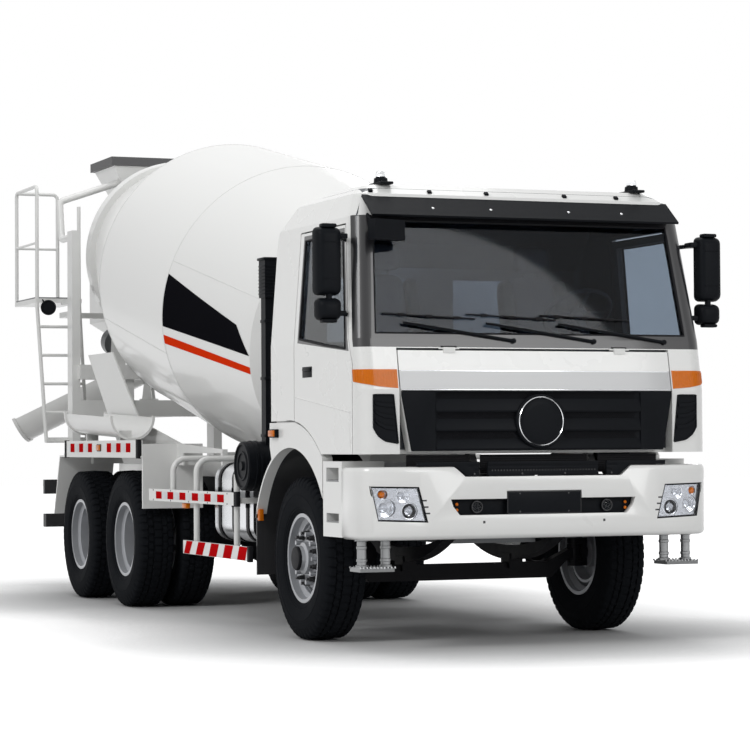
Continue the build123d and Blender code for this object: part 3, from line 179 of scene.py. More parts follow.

# Middle of the cab's walls: what lies inside it is dark trim; the underside of the cab floor behind the step
# also lies inside, and its dark grey there is painted shade
CAB_INSIDE = [
    *slab(x=(-0.4225, 1.19), y=(0.0, 1.197), z=(1.262, 2.9275)),
    ((-1, 0, -0.2205), -(1.191 + SHIFT + 0.2205 * 1.96)),
    ((-1, 0, -0.44), -(1.0225 + SHIFT + 0.44 * 2.74)),
    ((0, -1, -0.0769), -(1.197 + 0.0769 * 1.96)),
    ((0, -1, -0.44), -(1.1375 + 0.44 * 2.74)),
    below_line(-0.1075, 2.8555, 0.2075, 2.9275),
    below_line(-0.31, 2.706, -0.1075, 2.8555),
    below_line(-0.4225, 2.53, -0.31, 2.706),
]

# Dark ribs at the inner edge of each headlamp, and the plugs under the slot
BUMPER_MARKS = [
    slab(y=(0.788, 0.818), z=(0.860, 0.870)), slab(y=(0.799, 0.829), z=(0.900, 0.910)),
    slab(y=(0.810, 0.840), z=(0.940, 0.950)), slab(y=(0.412, 0.428), z=(0.797, 0.813)),
]
TILT_LUGS = slab(y=(0.0, 0.5), z=(0.9, 1.234))
LID_BAND = slab(z=(1.634, 1.759))
TANK_STRAPS = [slab(x=limits) for limits in ((-1.866, -1.814), (-1.556, -1.504), (-1.246, -1.194))]

CAB_PAINT = dict(coat=0.5, vary=0.01, scale=2.0, bump=0.01, bump_scale=12)
CLEAR = dict(transmission=1.0, vary=0.02, scale=3)
CLOTH = dict(scale=120, bump=0.4, bump_scale=420, specular=0.2)
MAT_TABLE = {
    "white": (WHITE, 0.30, dict(coat=0.45, vary=0.012, scale=2.0, bump=0.015, bump_scale=14)),
    "drum_white": (WHITE, 0.34, dict(coat=0.35, vary=0.012, scale=1.2, bump=0.02, bump_scale=5)),
    "frame_white": ((0.76, 0.76, 0.745), 0.38, dict(coat=0.25, vary=0.03, scale=7, bump=0.04)),
    "cab_white": (WHITE, 0.28, dict(CAB_PAINT, zones=[
        (SCREEN_ZONE, BLACK, 0.35), (CAB_INSIDE, TRIM_GREY_AND_PAINTED_SHADE, 0.8), (TILT_LUGS, BLACK, 0.5)])),
    "door_white": (WHITE, 0.28, dict(CAB_PAINT, zones=[
        (WINDOW_ZONE, BLACK, 0.35), (CAB_INSIDE, TRIM_GREY_AND_PAINTED_SHADE, 0.8)])),
    "lid_white": (WHITE, 0.28, dict(CAB_PAINT, zones=[(LID_BAND, BAND_SILVER, 0.30)])),
    "bumper_white": (WHITE, 0.30, dict(coat=0.45, vary=0.012, scale=2.0, bump=0.015, bump_scale=14,
                                       zones=[(mark, BLACK, 0.5) for mark in BUMPER_MARKS])),
    "step_white": (WHITE, 0.32, dict(coat=0.4, vary=0.015, scale=3.0, bump=0.02, bump_scale=20,
                                     zones=[(slab(x=(0.98, 1.25)), STEP_GREY, 0.3)])),
    "fender_white": (WHITE, 0.3, dict(coat=0.4, vary=0.012, scale=3.0, bump=0.015, bump_scale=14, zones=[
        (slab(x=(-0.9, -0.68)), DARK_RUBBER, 0.75), (slab(y=(0.0, 1.149)), DARK_RUBBER, 0.65)])),
    "hopper_white": (WHITE, 0.34, dict(coat=0.3, vary=0.02, scale=4.0, bump=0.03, bump_scale=20,
                                       zones=[(slab(z=(3.899, 4.1)), DARK_RUBBER, 0.7)])),
    "underrun": ((0.03, 0.03, 0.032), 0.5, dict(vary=0.2, scale=20, bump=0.08, specular=0.3)),
    "black_paint": ((0.009, 0.009, 0.011), 0.5, dict(vary=0.25, scale=18, bump=0.08, specular=0.12)),
    "black_plastic": ((0.007, 0.008, 0.010), 0.42, dict(vary=0.15, scale=30, bump=0.05, bump_scale=260,
                                                        specular=0.06)),
    "grey_plastic": ((0.030, 0.034, 0.042), 0.6, dict(vary=0.1, scale=20, bump=0.1, bump_scale=260,
                                                      specular=0.3)),
    "steel": ((0.12, 0.125, 0.13), 0.42, dict(metal=0.6, vary=0.15, scale=20, bump=0.06)),
    "nut_steel": ((0.045, 0.045, 0.047), 0.38, dict(metal=0.6, vary=0.2, scale=40, bump=0.05)),
    "silver": ((0.42, 0.43, 0.45), 0.34, dict(metal=0.45, vary=0.06, scale=14, bump=0.02)),
    "rubber": ((0.009, 0.010, 0.012), 0.72, dict(vary=0.22, scale=24, bump=0.12, bump_scale=190,
                                                 specular=0.03)),
    "soft_rubber": (DARK_RUBBER, 0.65, dict(vary=0.2, scale=40, bump=0.05, bump_scale=200, specular=0.1)),
    "aluminium": ((0.60, 0.61, 0.63), 0.20, dict(metal=1.0, vary=0.05, scale=5, stretch=(0.4, 6, 6),
                                                 bump=0.03, bump_scale=30,
                                                 zones=[(strap, BLACK, 0.5) for strap in TANK_STRAPS])),
    "tread_metal": ((0.28, 0.285, 0.29), 0.36, dict(metal=0.8, vary=0.1, scale=30, bump=0.08)),
    "chrome": ((0.74, 0.75, 0.77), 0.10, dict(metal=1.0, vary=0.02, scale=8)),
    "reflector": ((0.50, 0.51, 0.53), 0.20, dict(metal=0.9, vary=0.10, scale=45, bump=0.7, bump_scale=70)),
    "glass": ((0.30, 0.35, 0.42), 0.03, dict(CLEAR, ior=1.22)),
    "door_glass": ((0.62, 0.66, 0.69), 0.03, dict(CLEAR, ior=1.22)),
    "clear_lens": ((0.90, 0.91, 0.93), 0.03, dict(transmission=1.0, ior=1.2, vary=0.01, scale=10)),
    "amber": ((0.66, 0.16, 0.004), 0.16, dict(vary=0.12, scale=60, bump=0.3, bump_scale=90, specular=0.2)),
    "red": ((0.55, 0.006, 0.008), 0.30, dict(vary=0.08, scale=80, bump=0.08, bump_scale=400, specular=0.0)),
    "bright_white": ((0.66, 0.67, 0.68), 0.3, dict(vary=0.03, scale=80, bump=0.05, bump_scale=400,
                                                   specular=0.3)),
    "decal_black": ((0.007, 0.007, 0.009), 0.45, dict(vary=0.1, scale=3, specular=0.0)),
    "decal_orange": ((0.80, 0.040, 0.006), 0.42, dict(vary=0.04, scale=3, specular=0.0)),
    "fabric": ((0.060, 0.064, 0.080), 0.92, dict(CLOTH, vary=0.35)),
    "side_fabric": ((0.020, 0.021, 0.025), 0.9, dict(CLOTH, vary=0.3)),
    "bead": ((0.72, 0.72, 0.71), 0.4, dict(vary=0.05, scale=30, bump=0.2, bump_scale=120)),
    "mirror": ((0.60, 0.62, 0.65), 0.03, dict(metal=1.0, vary=0.01, scale=3)),
}
MATS = {name: material(name, colour, rough, **rest) for name, (colour, rough, rest) in MAT_TABLE.items()}

FINISH = {
    "white_paint": "frame_white", "black_paint": "black_paint", "grey_steel": "steel", "silver_rim": "silver",
    "tyre_rubber": "rubber", "glass": "glass", "black_plastic": "black_plastic",
    "grey_plastic": "grey_plastic",
    "lamp_lens": "reflector", "bright_metal": "aluminium", "seat_fabric": "fabric", "amber_lens": "amber",
}
NODE_FINISH = {
    "drum": "drum_white", "cab_shell": "cab_white", "door_right": "door_white", "door_left": "door_white",
    "front_lid": "lid_white", "front_bumper": "bumper_white", "cab_steps": "step_white",
    "front_mudguards": "fender_white", "charging_hopper": "hopper_white", "rear_underrun": "underrun",
    "door_glass_right": "door_glass", "door_glass_left": "door_glass",
}
for entry in frame["record"]["subparts"]:
    finish = NODE_FINISH.get(entry["node"], FINISH[entry["material_slot"]])
    data = NODES[entry["node"]].data
    data.materials.clear()
    data.materials.append(MATS[finish])


# Mesh tools

def new_piece(name, bm, mat, body="chassis", smooth_angle=32):
    """Turns a bmesh into a piece that rides on a body."""
    bmesh.ops.recalc_face_normals(bm, faces=bm.faces)
    data = bpy.data.meshes.new(name)
    bm.to_mesh(data)
    bm.free()
    for face in data.polygons:
        face.use_smooth = True
    data.set_sharp_from_angle(angle=math.radians(smooth_angle))
    data.materials.append(MATS[mat])
    obj = bpy.data.objects.new(name, data)
    bpy.context.scene.collection.objects.link(obj)
    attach(obj, body)
    return obj


def bridge(bm, rows, closed=False, capped=False):
    """Faces between rings of vertices, back round to the first ring or with capped ends."""
    pairs = list(zip(rows, rows[1:]))
    if closed:
        pairs.append((rows[-1], rows[0]))
    for low, high in pairs:
        count = max(len(low), len(high))
        for step in range(count):
            after = (step + 1) % count
            ring = [low[step % len(low)], low[after % len(low)],
                    high[after % len(high)], high[step % len(high)]]
            ring = list(dict.fromkeys(ring))
            if len(ring) > 2:
                bm.faces.new(ring)
    if capped:
        bm.faces.new(rows[0])
        bm.faces.new(rows[-1])


def add_block(bm, low, high, bevel=0.002, turn=None):
    """A block between two corners from the front axle, with its edges rounded, turned about its middle."""
    low, high = at(*low), at(*high)
    middle, size = (low + high) / 2, high - low
    new = bmesh.ops.create_cube(bm, size=1.0)["verts"]
    for vert in new:
        vert.co = Vector(c * abs(s) for c, s in zip(vert.co, size))
    edges = {edge for vert in new for edge in vert.link_edges}
    if bevel > 0:
        new = bmesh.ops.bevel(bm, geom=list(edges), offset=bevel, segments=2, profile=0.5,
                              affect="EDGES")["verts"]
    for vert in new:
        vert.co = middle + (turn @ vert.co if turn else vert.co)


def add_side_block(bm, side, x, y, z, bevel=0.002):
    """A block from its limits along each axis, with y counted outward on one side."""
    ends = sorted((side * y[0], side * y[1]))
    add_block(bm, (x[0], ends[0], z[0]), (x[1], ends[1], z[1]), bevel)


def add_prism(bm, outline, push, bevel=0.0):
    """A flat outline of row-frame points pushed along a vector, its edges rounded."""
    verts = [bm.verts.new(point) for point in outline]
    face = bm.faces.new(verts)
    grown = bmesh.ops.extrude_face_region(bm, geom=[face])["geom"]
    top = [item for item in grown if isinstance(item, bmesh.types.BMVert)]
    bmesh.ops.translate(bm, verts=top, vec=push)
    if bevel > 0:
        edges = {edge for vert in verts + top for edge in vert.link_edges}
        bmesh.ops.bevel(bm, geom=list(edges), offset=bevel, segments=2, profile=0.5, affect="EDGES")


def axes_along(direction):
    """A rotation whose Z axis runs along the direction."""
    z = Vector(direction).normalized()
    side = Vector(UP)
    if abs(side.dot(z)) > 0.95:
        side = Vector(FORWARD)
    x = side.cross(z).normalized()
    return Matrix((x, z.cross(x), z)).transposed()


def circle(bm, centre, axes, radius, height, steps):
    """A ring of vertices round the axes' Z, or one vertex where the radius is nothing."""
    if radius < 1e-6:
        return [bm.verts.new(centre + axes @ Vector((0, 0, height)))]
    turns = [2 * math.pi * step / steps for step in range(steps)]
    return [bm.verts.new(centre + axes @ Vector((radius * math.cos(t), radius * math.sin(t), height)))
            for t in turns]


def add_turned(bm, profile, start, direction, steps=32, closed=False):
    """A body turned from (radius, height) stations about a line from start, a row-frame point."""
    axes = axes_along(direction)
    bridge(bm, [circle(bm, start, axes, radius, height, steps) for radius, height in profile], closed)


def add_tube(bm, points, radius, sides=10):
    """A round tube with capped ends through row-frame points."""
    rows = []
    axes = None
    for index, point in enumerate(points):
        before = points[max(0, index - 1)]
        after = points[min(len(points) - 1, index + 1)]
        direction = (after - before).normalized()
        if axes is None:
            axes = axes_along(direction)
        else:
            axes = (axes.col[2].rotation_difference(direction).to_matrix()) @ axes
        rows.append(circle(bm, point, axes, radius, 0, sides))
    bridge(bm, rows, capped=True)


def add_skin(bm, spot, rows, columns):
    """A closed thin skin; spot(u, v, layer) gives its points, with layer 0 below and 1 above."""
    grids = []
    for layer in (0, 1):
        grid = [
            [bm.verts.new(spot(row / rows, column / columns, layer)) for column in range(columns + 1)]
            for row in range(rows + 1)
        ]
        grids.append(grid)
        for near, far in zip(grid, grid[1:]):
            for column in range(columns):
                bm.faces.new([near[column], far[column], far[column + 1], near[column + 1]])
    rim = [(r, 0) for r in range(rows)] + [(rows, c) for c in range(columns)]
    rim += [(r, columns) for r in range(rows, 0, -1)] + [(0, c) for c in range(columns, 0, -1)]
    low, top = grids
    for (r0, c0), (r1, c1) in zip(rim, rim[1:] + rim[:1]):
        bm.faces.new([low[r0][c0], low[r1][c1], top[r1][c1], top[r0][c0]])


def carve(name, solid, cutters, mat, body="chassis", bevel=0.0):
    """A piece made of one closed mesh with others taken away from it."""
    made = []
    for index, bm in enumerate([solid, *cutters]):
        bmesh.ops.recalc_face_normals(bm, faces=bm.faces)
        data = bpy.data.meshes.new(f"{name}_{index}")
        bm.to_mesh(data)
        bm.free()
        made.append(bpy.data.objects.new(f"{name}_{index}", data))
        bpy.context.scene.collection.objects.link(made[-1])
    block = made[0]
    for cutter in made[1:]:
        step = block.modifiers.new("cut", "BOOLEAN")
        step.operation = "DIFFERENCE"
        step.solver = "EXACT"
        step.object = cutter
    if bevel > 0:
        rounding = block.modifiers.new("rounding", "BEVEL")
        rounding.width = bevel
        rounding.segments = 2
        rounding.limit_method = "ANGLE"
        rounding.angle_limit = math.radians(40)
    bpy.context.view_layer.update()
    shown = block.evaluated_get(bpy.context.evaluated_depsgraph_get())
    result = bmesh.new()
    result.from_mesh(shown.to_mesh())
    shown.to_mesh_clear()
    for obj in made:
        bpy.data.objects.remove(obj, do_unlink=True)
    bmesh.ops.remove_doubles(result, verts=result.verts, dist=1e-6)
    return new_piece(name, result, mat, body)


def plate_across(outline, x0, x1):
    """A mesh block from an outline in Y and Z between two x values from the front axle."""
    bm = bmesh.new()
    add_prism(bm, [at(x0, y, z) for y, z in outline], Vector((x1 - x0, 0, 0)))
    return bm


def along_line(points, place):
    """Height of a broken line at a place."""
    for (a, low), (b, high) in zip(points, points[1:]):
        if a <= place <= b:
            return low + (high - low) * (place - a) / (b - a)
    return points[-1][1]


def box_outline(a0, a1, b0, b1):
    """Corners of an upright rectangle."""
    return [(a0, b0), (a1, b0), (a1, b1), (a0, b1)]


def ring_line(corners, parts):
    """Points along the edges of a ring of flat corners."""
    return [(a0 + (a1 - a0) * step / parts, b0 + (b1 - b0) * step / parts)
            for (a0, b0), (a1, b1) in zip(corners, corners[1:] + corners[:1]) for step in range(parts)]


# Wheels

TREAD_PITCHES = 54
TREAD_DEPTH = 0.014
PITCH_PARTS = (0.0, 0.10, 0.16, 0.50, 0.60, 0.66)
BEAD_HALF = 0.090
ZIGZAG = 0.004

# Stations from the bead to the crown as (radius, offset along the axle, tread zone); 1 lugs, 2 outer rib,
# 3 and 4 grooves, 5 middle rib
TYRE_SIDE = [
    (BEAD_RADIUS, 0.104, 0), (0.302, 0.116, 0), (0.309, 0.126, 0), (0.325, 0.132, 0), (0.327, 0.136, 0),
    (0.338, 0.136, 0), (0.340, 0.139, 0), (0.380, 0.147, 0), (0.418, 0.1495, 0), (0.420, 0.1475, 0),
    (0.424, 0.1475, 0), (0.426, 0.1495, 0), (0.462, 0.1455, 0), (0.480, 0.141, 0), (0.482, 0.143, 1),
    (0.512, 0.134, 1), (0.528, 0.127, 1), (0.5365, 0.116, 1), (0.5375, 0.084, 1),
    (0.5375, 0.083, 3), (0.538, 0.074, 3), (0.538, 0.073, 2), (0.5395, 0.038, 2), (0.5395, 0.037, 4),
    (0.5400, 0.030, 4), (0.5400, 0.029, 5), (0.5415, 0.002, 5),
]
TYRE_PROFILE = TYRE_SIDE + [(r, -y, zone) for r, y, zone in reversed(TYRE_SIDE)]


def tread_shape(radius, zone, part):
    """Radius and sideways shift of a tread station at one part of a pitch."""
    low = part in (1, 2) if zone in (1, 5) else part in (4, 5)
    bend = ZIGZAG if part < 3 else -ZIGZAG
    if zone == 1 and low:
        return radius - TREAD_DEPTH * (1.0 if radius > 0.52 else 0.45), 0.0
    if zone in (2, 5) and low:
        return radius - TREAD_DEPTH * 0.75, 0.0
    if zone in (3, 4):
        return radius - TREAD_DEPTH, bend
    return radius, bend if zone == 2 else 0.0


def build_tyre(name, node, body, centres, x):
    """Tyres with shoulder lugs, two zigzag ribs and ringed side walls, one per centre y."""
    parts = len(PITCH_PARTS)
    turns = [2 * math.pi * (pitch + share) / TREAD_PITCHES
             for pitch in range(TREAD_PITCHES) for share in PITCH_PARTS]
    bm = bmesh.new()
    for centre in centres:
        rows = []
        for radius, offset, zone in TYRE_PROFILE:
            row = []
            for column, angle in enumerate(turns):
                deep, shift = tread_shape(radius, zone, column % parts)
                y = centre + offset + math.copysign(1.0, offset) * shift
                z = TYRE_RADIUS + deep * math.cos(angle)
                row.append(bm.verts.new(at(x + deep * math.sin(angle), y, z)))
            rows.append(row)
        for offset in (-BEAD_HALF, BEAD_HALF):
            rows.append([
                bm.verts.new(at(x + BEAD_RADIUS * math.sin(angle), centre + offset,
                                TYRE_RADIUS + BEAD_RADIUS * math.cos(angle))) for angle in turns
            ])
        bridge(bm, rows, closed=True)
    obj = new_piece(name, bm, "rubber", body, smooth_angle=40)
    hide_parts(node)


def wheel_nuts(name, body, x, y, side, radius, height):
    """Hexagon nuts on washers with stud ends, in a ring on the wheel disc."""
    bm = bmesh.new()
    out = (0, side, 0)
    for index in range(WHEEL_BOLTS):
        angle = 2 * math.pi * (index + 0.5) / WHEEL_BOLTS
        centre = at(x + BOLT_CIRCLE * math.cos(angle), side * y, TYRE_RADIUS + BOLT_CIRCLE * math.sin(angle))
        washer = [(0, 0), (radius * 1.28, 0), (radius * 1.28, 0.005), (0, 0.005)]
        nut = [(radius, 0.004), (radius * 1.02, height * 0.55), (radius * 0.86, height * 0.66),
               (0, height * 0.66)]
        stud = [(radius * 0.55, height * 0.6), (radius * 0.55, height * 0.95), (radius * 0.45, height),
                (0, height)]
        for profile, steps in ((washer, 20), (nut, 6), (stud, 14)):
            add_turned(bm, profile, centre, out, steps)
    new_piece(name, bm, "nut_steel", body)


def build_wheels():
    """Tyres, nuts and hubs of the front wheels and the twin wheels."""
    for side, hand in SIDES:
        body = f"front_wheel_{hand}"
        build_tyre(f"front_tyre_{hand}_detail", f"tyre_1_{hand}", body, [side * FRONT_WHEEL_Y], AXLES["1"])
        wheel_nuts(f"front_nuts_{hand}", body, AXLES["1"], FRONT_WHEEL_Y + 0.0765, side, 0.0185, 0.056)
        hub = bmesh.new()
        add_turned(hub, [(0.079, 0.126), (0.077, 0.150), (0.080, 0.154), (0.080, 0.166), (0.074, 0.1745),
                         (0.030, 0.178), (0, 0.178)],
                   at(AXLES["1"], side * FRONT_WHEEL_Y, TYRE_RADIUS), (0, side, 0), 40)
        new_piece(f"front_hub_cap_{hand}", hub, "black_paint", body)
        for number in ("2", "3"):
            body = f"wheels_{number}_{hand}"
            x = AXLES[number]
            centres = [side * (TWIN_WHEEL_Y + TWIN_HALF_GAP), side * (TWIN_WHEEL_Y - TWIN_HALF_GAP)]
            build_tyre(f"twin_tyres_{number}_{hand}_detail", f"tyres_{number}_{hand}", body, centres, x)
            wheel_nuts(f"twin_nuts_{number}_{hand}", body, x, TWIN_WHEEL_Y + 0.015, side, 0.0185, 0.05)
            hub = bmesh.new()
            add_turned(hub, [(0.088, 0.0725), (0.098, 0.078), (0.098, 0.090), (0.086, 0.122), (0.030, 0.127),
                             (0, 0.127)], at(x, side * TWIN_WHEEL_Y, TYRE_RADIUS), (0, side, 0), 40)
            for index in range(8):
                angle = 2 * math.pi * index / 8
                spot = at(x + 0.072 * math.cos(angle), side * (TWIN_WHEEL_Y + 0.122),
                          TYRE_RADIUS + 0.072 * math.sin(angle))
                add_turned(hub, [(0.009, 0), (0.009, 0.008), (0, 0.009)], spot, (0, side, 0), 6)
            new_piece(f"axle_end_{number}_{hand}", hub, "nut_steel", body)


# Drum

DRUM_AXIS = Vector((-math.cos(DRUM_TILT), 0, math.sin(DRUM_TILT)))
DRUM_DOWN = Vector((-math.sin(DRUM_TILT), 0, -math.cos(DRUM_TILT)))

# Weld beads along the shell as (angles, start, length, parts)
DRUM_SEAMS = [((109.3, 229.0, 349.0), 0.41, 1.72, 20), ((149.3, 269.0, 389.0), 3.98, 1.44, 16),
              ((72.0, 192.0, 312.0), 2.15, 1.80, 20)]


def drum_point(along, angle, lift):
    """A point over the drum's skin; the angle runs from its lowest line towards the truck's right."""
    radius = along_line(DRUM_PROFILE, along) + lift
    turned = DRUM_DOWN * math.cos(angle) + Vector((0, -1, 0)) * math.sin(angle)
    return at(*DRUM_START) + DRUM_AXIS * along + turned * radius


def drum_patch(name, mat, corners, columns=14):
    """A thin film on the drum between four corners given as (along, angle in degrees)."""
    a, b, c, d = [Vector((s, math.radians(t))) for s, t in corners]

    def spot(u, v, layer):
        place = (a * (1 - u) + b * u) * (1 - v) + (d * (1 - u) + c * u) * v
        return drum_point(place.x, place.y, 0.0012 + 0.0008 * layer)

    bm = bmesh.new()
    add_skin(bm, spot, 24, columns)
    new_piece(name, bm, mat, "drum", 60)


def build_drum():
    """The painted wedge and stripe, and the weld beads of the shell."""
    drum_patch("drum_wedge", "decal_black", [(2.130, 103.9), (0.680, 95.8), (0.410, 85.5), (2.130, 83.2)])
    drum_patch("drum_stripe", "decal_orange", [(2.130, 79.8), (0.405, 80.8), (0.405, 78.0), (2.130, 76.3)],
               columns=4)
    bm = bmesh.new()
    for along in (2.139, 3.969):
        add_tube(bm, [drum_point(along, 2 * math.pi * step / 120, 0.0) for step in range(121)], 0.0035, 6)
    for angles, start, length, parts in DRUM_SEAMS:
        for angle in map(math.radians, angles):
            line = [drum_point(start + length * step / parts, angle, 0.0) for step in range(parts + 1)]
            add_tube(bm, line, 0.003, 6)
    new_piece("drum_weld_beads", bm, "bead", "drum", 60)


# Cab front

LID_SKIN_X = 1.285
GRILLE_OUTLINE = [(-0.882, 1.252), (0.882, 1.252), (0.947, 1.600), (0.947, 1.632), (-0.947, 1.632),
                  (-0.947, 1.600)]
LOUVRES = [(1.258, 1.323), (1.376, 1.453), (1.497, 1.580)]
GRILLE_GAPS = [(1.328, 1.371), (1.458, 1.492), (1.585, 1.619)]
LOUVRE_HALF = 0.720
MESH_PITCH = 0.0165
BOSS_Z = 1.437
BOSS_RADIUS = 0.172
BOSS_FACE_X = 1.322
CAB_CORNER = 0.110
CAB_HALF = 1.225
VENT_LOW = [(0.960, 1.302), (1.055, 1.318), (1.105, 1.352), (1.132, 1.400)]
INDICATOR_LOW = [(0.966, 1.646), (1.090, 1.656), (1.274, 1.688)]


def build_grille():
    """Black grille on the lid: a frame round three louvres, mesh between them and a plain round boss."""
    frame_block = plate_across(GRILLE_OUTLINE, LID_SKIN_X - 0.004, LID_SKIN_X + 0.016)
    opening = plate_across(box_outline(-LOUVRE_HALF, LOUVRE_HALF, 1.258, 1.621),
                           LID_SKIN_X + 0.001, LID_SKIN_X + 0.050)
    carve("grille_frame", frame_block, [opening], "black_plastic", "front_lid", 0.003)
    slats = bmesh.new()
    for low, high in LOUVRES:
        profile = [(0.000, low), (0.018, low), (0.021, low + 0.010), (0.006, high), (0.000, high)]
        add_prism(slats, [at(LID_SKIN_X + x, -LOUVRE_HALF + 0.001, z) for x, z in profile],
                  Vector((0, 2 * LOUVRE_HALF - 0.002, 0)), 0.0015)
    new_piece("grille_louvres", slats, "black_plastic", "front_lid")
    bm = bmesh.new()
    mesh_x = LID_SKIN_X + 0.0035
    half = LOUVRE_HALF - 0.004
    for low, high in GRILLE_GAPS:
        height = high - low
        for index in range(int((2 * half - height) / MESH_PITCH)):
            y = -half + index * MESH_PITCH
            if abs(y + height / 2) < BOSS_RADIUS and abs((low + high) / 2 - BOSS_Z) < 0.16:
                continue
            add_tube(bm, [at(mesh_x, y, low), at(mesh_x, y + height, high)], 0.0016, 4)
            add_tube(bm, [at(mesh_x + 0.002, y + height, low), at(mesh_x + 0.002, y, high)], 0.0016, 4)
    new_piece("grille_mesh", bm, "black_paint", "front_lid")
    boss = bmesh.new()
    add_turned(boss, [(BOSS_RADIUS, 0.0), (BOSS_RADIUS, 0.030), (BOSS_RADIUS - 0.006, 0.036),
                      (BOSS_RADIUS - 0.020, 0.036), (BOSS_RADIUS - 0.024, 0.032), (0, 0.032)],
               at(BOSS_FACE_X - 0.036, 0, BOSS_Z), FORWARD, 72)
    face = at(BOSS_FACE_X - 0.0045, 0, BOSS_Z)
    add_turned(boss, [(0.143, 0.0), (0.140, 0.002), (0.100, 0.0048), (0.050, 0.0064), (0, 0.0068)], face,
               FORWARD, 72)
    new_piece("boss", boss, "black_plastic", "front_lid")
    ring = bmesh.new()
    add_turned(ring, [(0.1500, 0.0), (0.1500, 0.006), (0.1535, 0.0095), (0.1570, 0.006), (0.1570, 0.0)], face,
               FORWARD, 72, closed=True)
    new_piece("boss_ring", ring, "chrome", "front_lid")
    lines = bmesh.new()
    for z, x in ((1.637, LID_SKIN_X), (1.756, 1.2622)):
        add_block(lines, (x - 0.003, -0.940, z - 0.0025), (x + 0.0015, 0.940, z + 0.0025), 0.001)
    new_piece("silver_band_lines", lines, "chrome", "front_lid")


def cab_corner_point(side, along, z, lift):
    """A point over the cab's front; along runs outward from the middle and on round the corner."""
    front_x = 1.285 - max(0.0, z - 1.640) * 63 / 320
    flat = CAB_HALF - CAB_CORNER
    if along <= flat:
        return at(front_x + lift, side * along, z)
    angle = (along - flat) / CAB_CORNER
    radius = CAB_CORNER + lift
    return at(front_x - CAB_CORNER + radius * math.cos(angle), side * (flat + radius * math.sin(angle)), z)


def build_corners():
    """Slotted vents and amber indicators on the cab's front corners."""
    for side, hand in SIDES:

        def vent_spot(u, v, lift):
            left = 0.970 + 0.030 * v
            place = left + (1.132 - left) * u
            low = along_line(VENT_LOW, place)
            return cab_corner_point(side, place, low + (1.604 - low) * v, lift)

        def lens_spot(u, v, lift):
            place = 0.966 + 0.308 * u
            low = along_line(INDICATOR_LOW, place)
            return cab_corner_point(side, place, low + (1.764 - low) * v, lift)

        vent = bmesh.new()
        add_skin(vent, lambda u, v, layer: vent_spot(u, v, -0.002 + 0.0035 * layer), 12, 14)
        rim = ring_line(box_outline(0, 1, 0, 1), 10)
        add_tube(vent, [vent_spot(u, v, 0.002) for u, v in rim + rim[:1]], 0.006, 8)
        for height in (0.26, 0.50, 0.74):
            for rise, depth, lift, rows in ((0.0, 0.075, 0.009, 2), (0.095, 0.02, 0.003, 1)):
                add_skin(vent, lambda u, v, layer: vent_spot(0.06 + 0.88 * u, height + rise + depth * v,
                                                             0.001 + lift * layer), 8, rows)
        new_piece(f"corner_vent_{hand}", vent, "black_plastic", "cab")
        lens = bmesh.new()
        add_skin(lens, lambda u, v, layer: lens_spot(u, v, -0.001 + 0.005 * layer), 20, 6)
        for step in range(15):
            share = 0.04 + 0.062 * step
            add_skin(lens, lambda u, v, layer: lens_spot(share + 0.022 * u, 0.10 + 0.80 * v,
                                                         0.003 + 0.0028 * layer), 1, 6)
        new_piece(f"indicator_{hand}", lens, "amber", "cab", 50)


# Bumper

BUMPER_PLAN = [
    (0.960, 1.225), (1.100, 1.225), (1.190, 1.2240), (1.238, 1.213), (1.275, 1.186), (1.303, 1.148),
    (1.329, 1.075), (1.345, 1.000), (1.354, 0.925), (1.3588, 0.855), (1.360, 0.800),
]
BUMPER_ROWS_Z = [(0.700, 0.030), (0.704, 0.018), (0.714, 0.006), (0.728, 0.0), (1.122, 0.0), (1.138, 0.003),
                 (1.150, 0.010), (1.155, 0.022)]
BUMPER_WALL = 0.050
BUMPER_CORNER_X = 1.150
NOTCH_OUTLINE = [(-0.640, 1.170), (-0.545, 1.090), (0.545, 1.090), (0.640, 1.170)]
SLOT_OUTLINE = [(-0.645, 0.950), (-0.630, 0.905), (-0.585, 0.850), (0.585, 0.850), (0.630, 0.905),
                (0.645, 0.950)]
PANEL_HALF_OUTLINE = [(-0.868, 1.184), (-0.868, 1.158), (-0.612, 1.158), (-0.536, 1.096)]
PANEL_GROOVES = [(0.480, 1.122, 1.136), (0.520, 1.150, 1.164)]
LUG_GAP = (0.386, 0.446)
PLATE_HALF = 0.260
PLATE_Z = (0.852, 0.996)
SLOT_FACE_X = 1.310
LAMP_CORNERS = [(0.860, 1.030), (0.800, 0.808), (1.118, 0.820), (1.160, 1.036)]


def bumper_solid(rows):
    """A closed body through plan sections of the bumper given as (height, inset)."""
    bm = bmesh.new()
    loops = []
    for z, inset in rows:
        right = []
        before = BUMPER_PLAN[:1] + BUMPER_PLAN[:-1]
        after = BUMPER_PLAN[1:] + BUMPER_PLAN[-1:]
        for (x, y), (x0, y0), (x1, y1) in zip(BUMPER_PLAN, before, after):
            run = Vector((x1 - x0, y1 - y0)).normalized()
            out_x, out_y = -run.y, run.x
            if out_x < 0:
                out_x, out_y = -out_x, -out_y
            if (x, y) == BUMPER_PLAN[-1]:
                out_x, out_y = 1.0, 0.0
            if x < BUMPER_CORNER_X:
                out_x, out_y = 0.0, 1.0
            right.append((x - inset * out_x, y - inset * out_y))
        full = right + [(x, -y) for x, y in reversed(right)]
        loops.append([bm.verts.new(at(x, y, z)) for x, y in full])
    bridge(bm, loops, capped=True)
    return bm


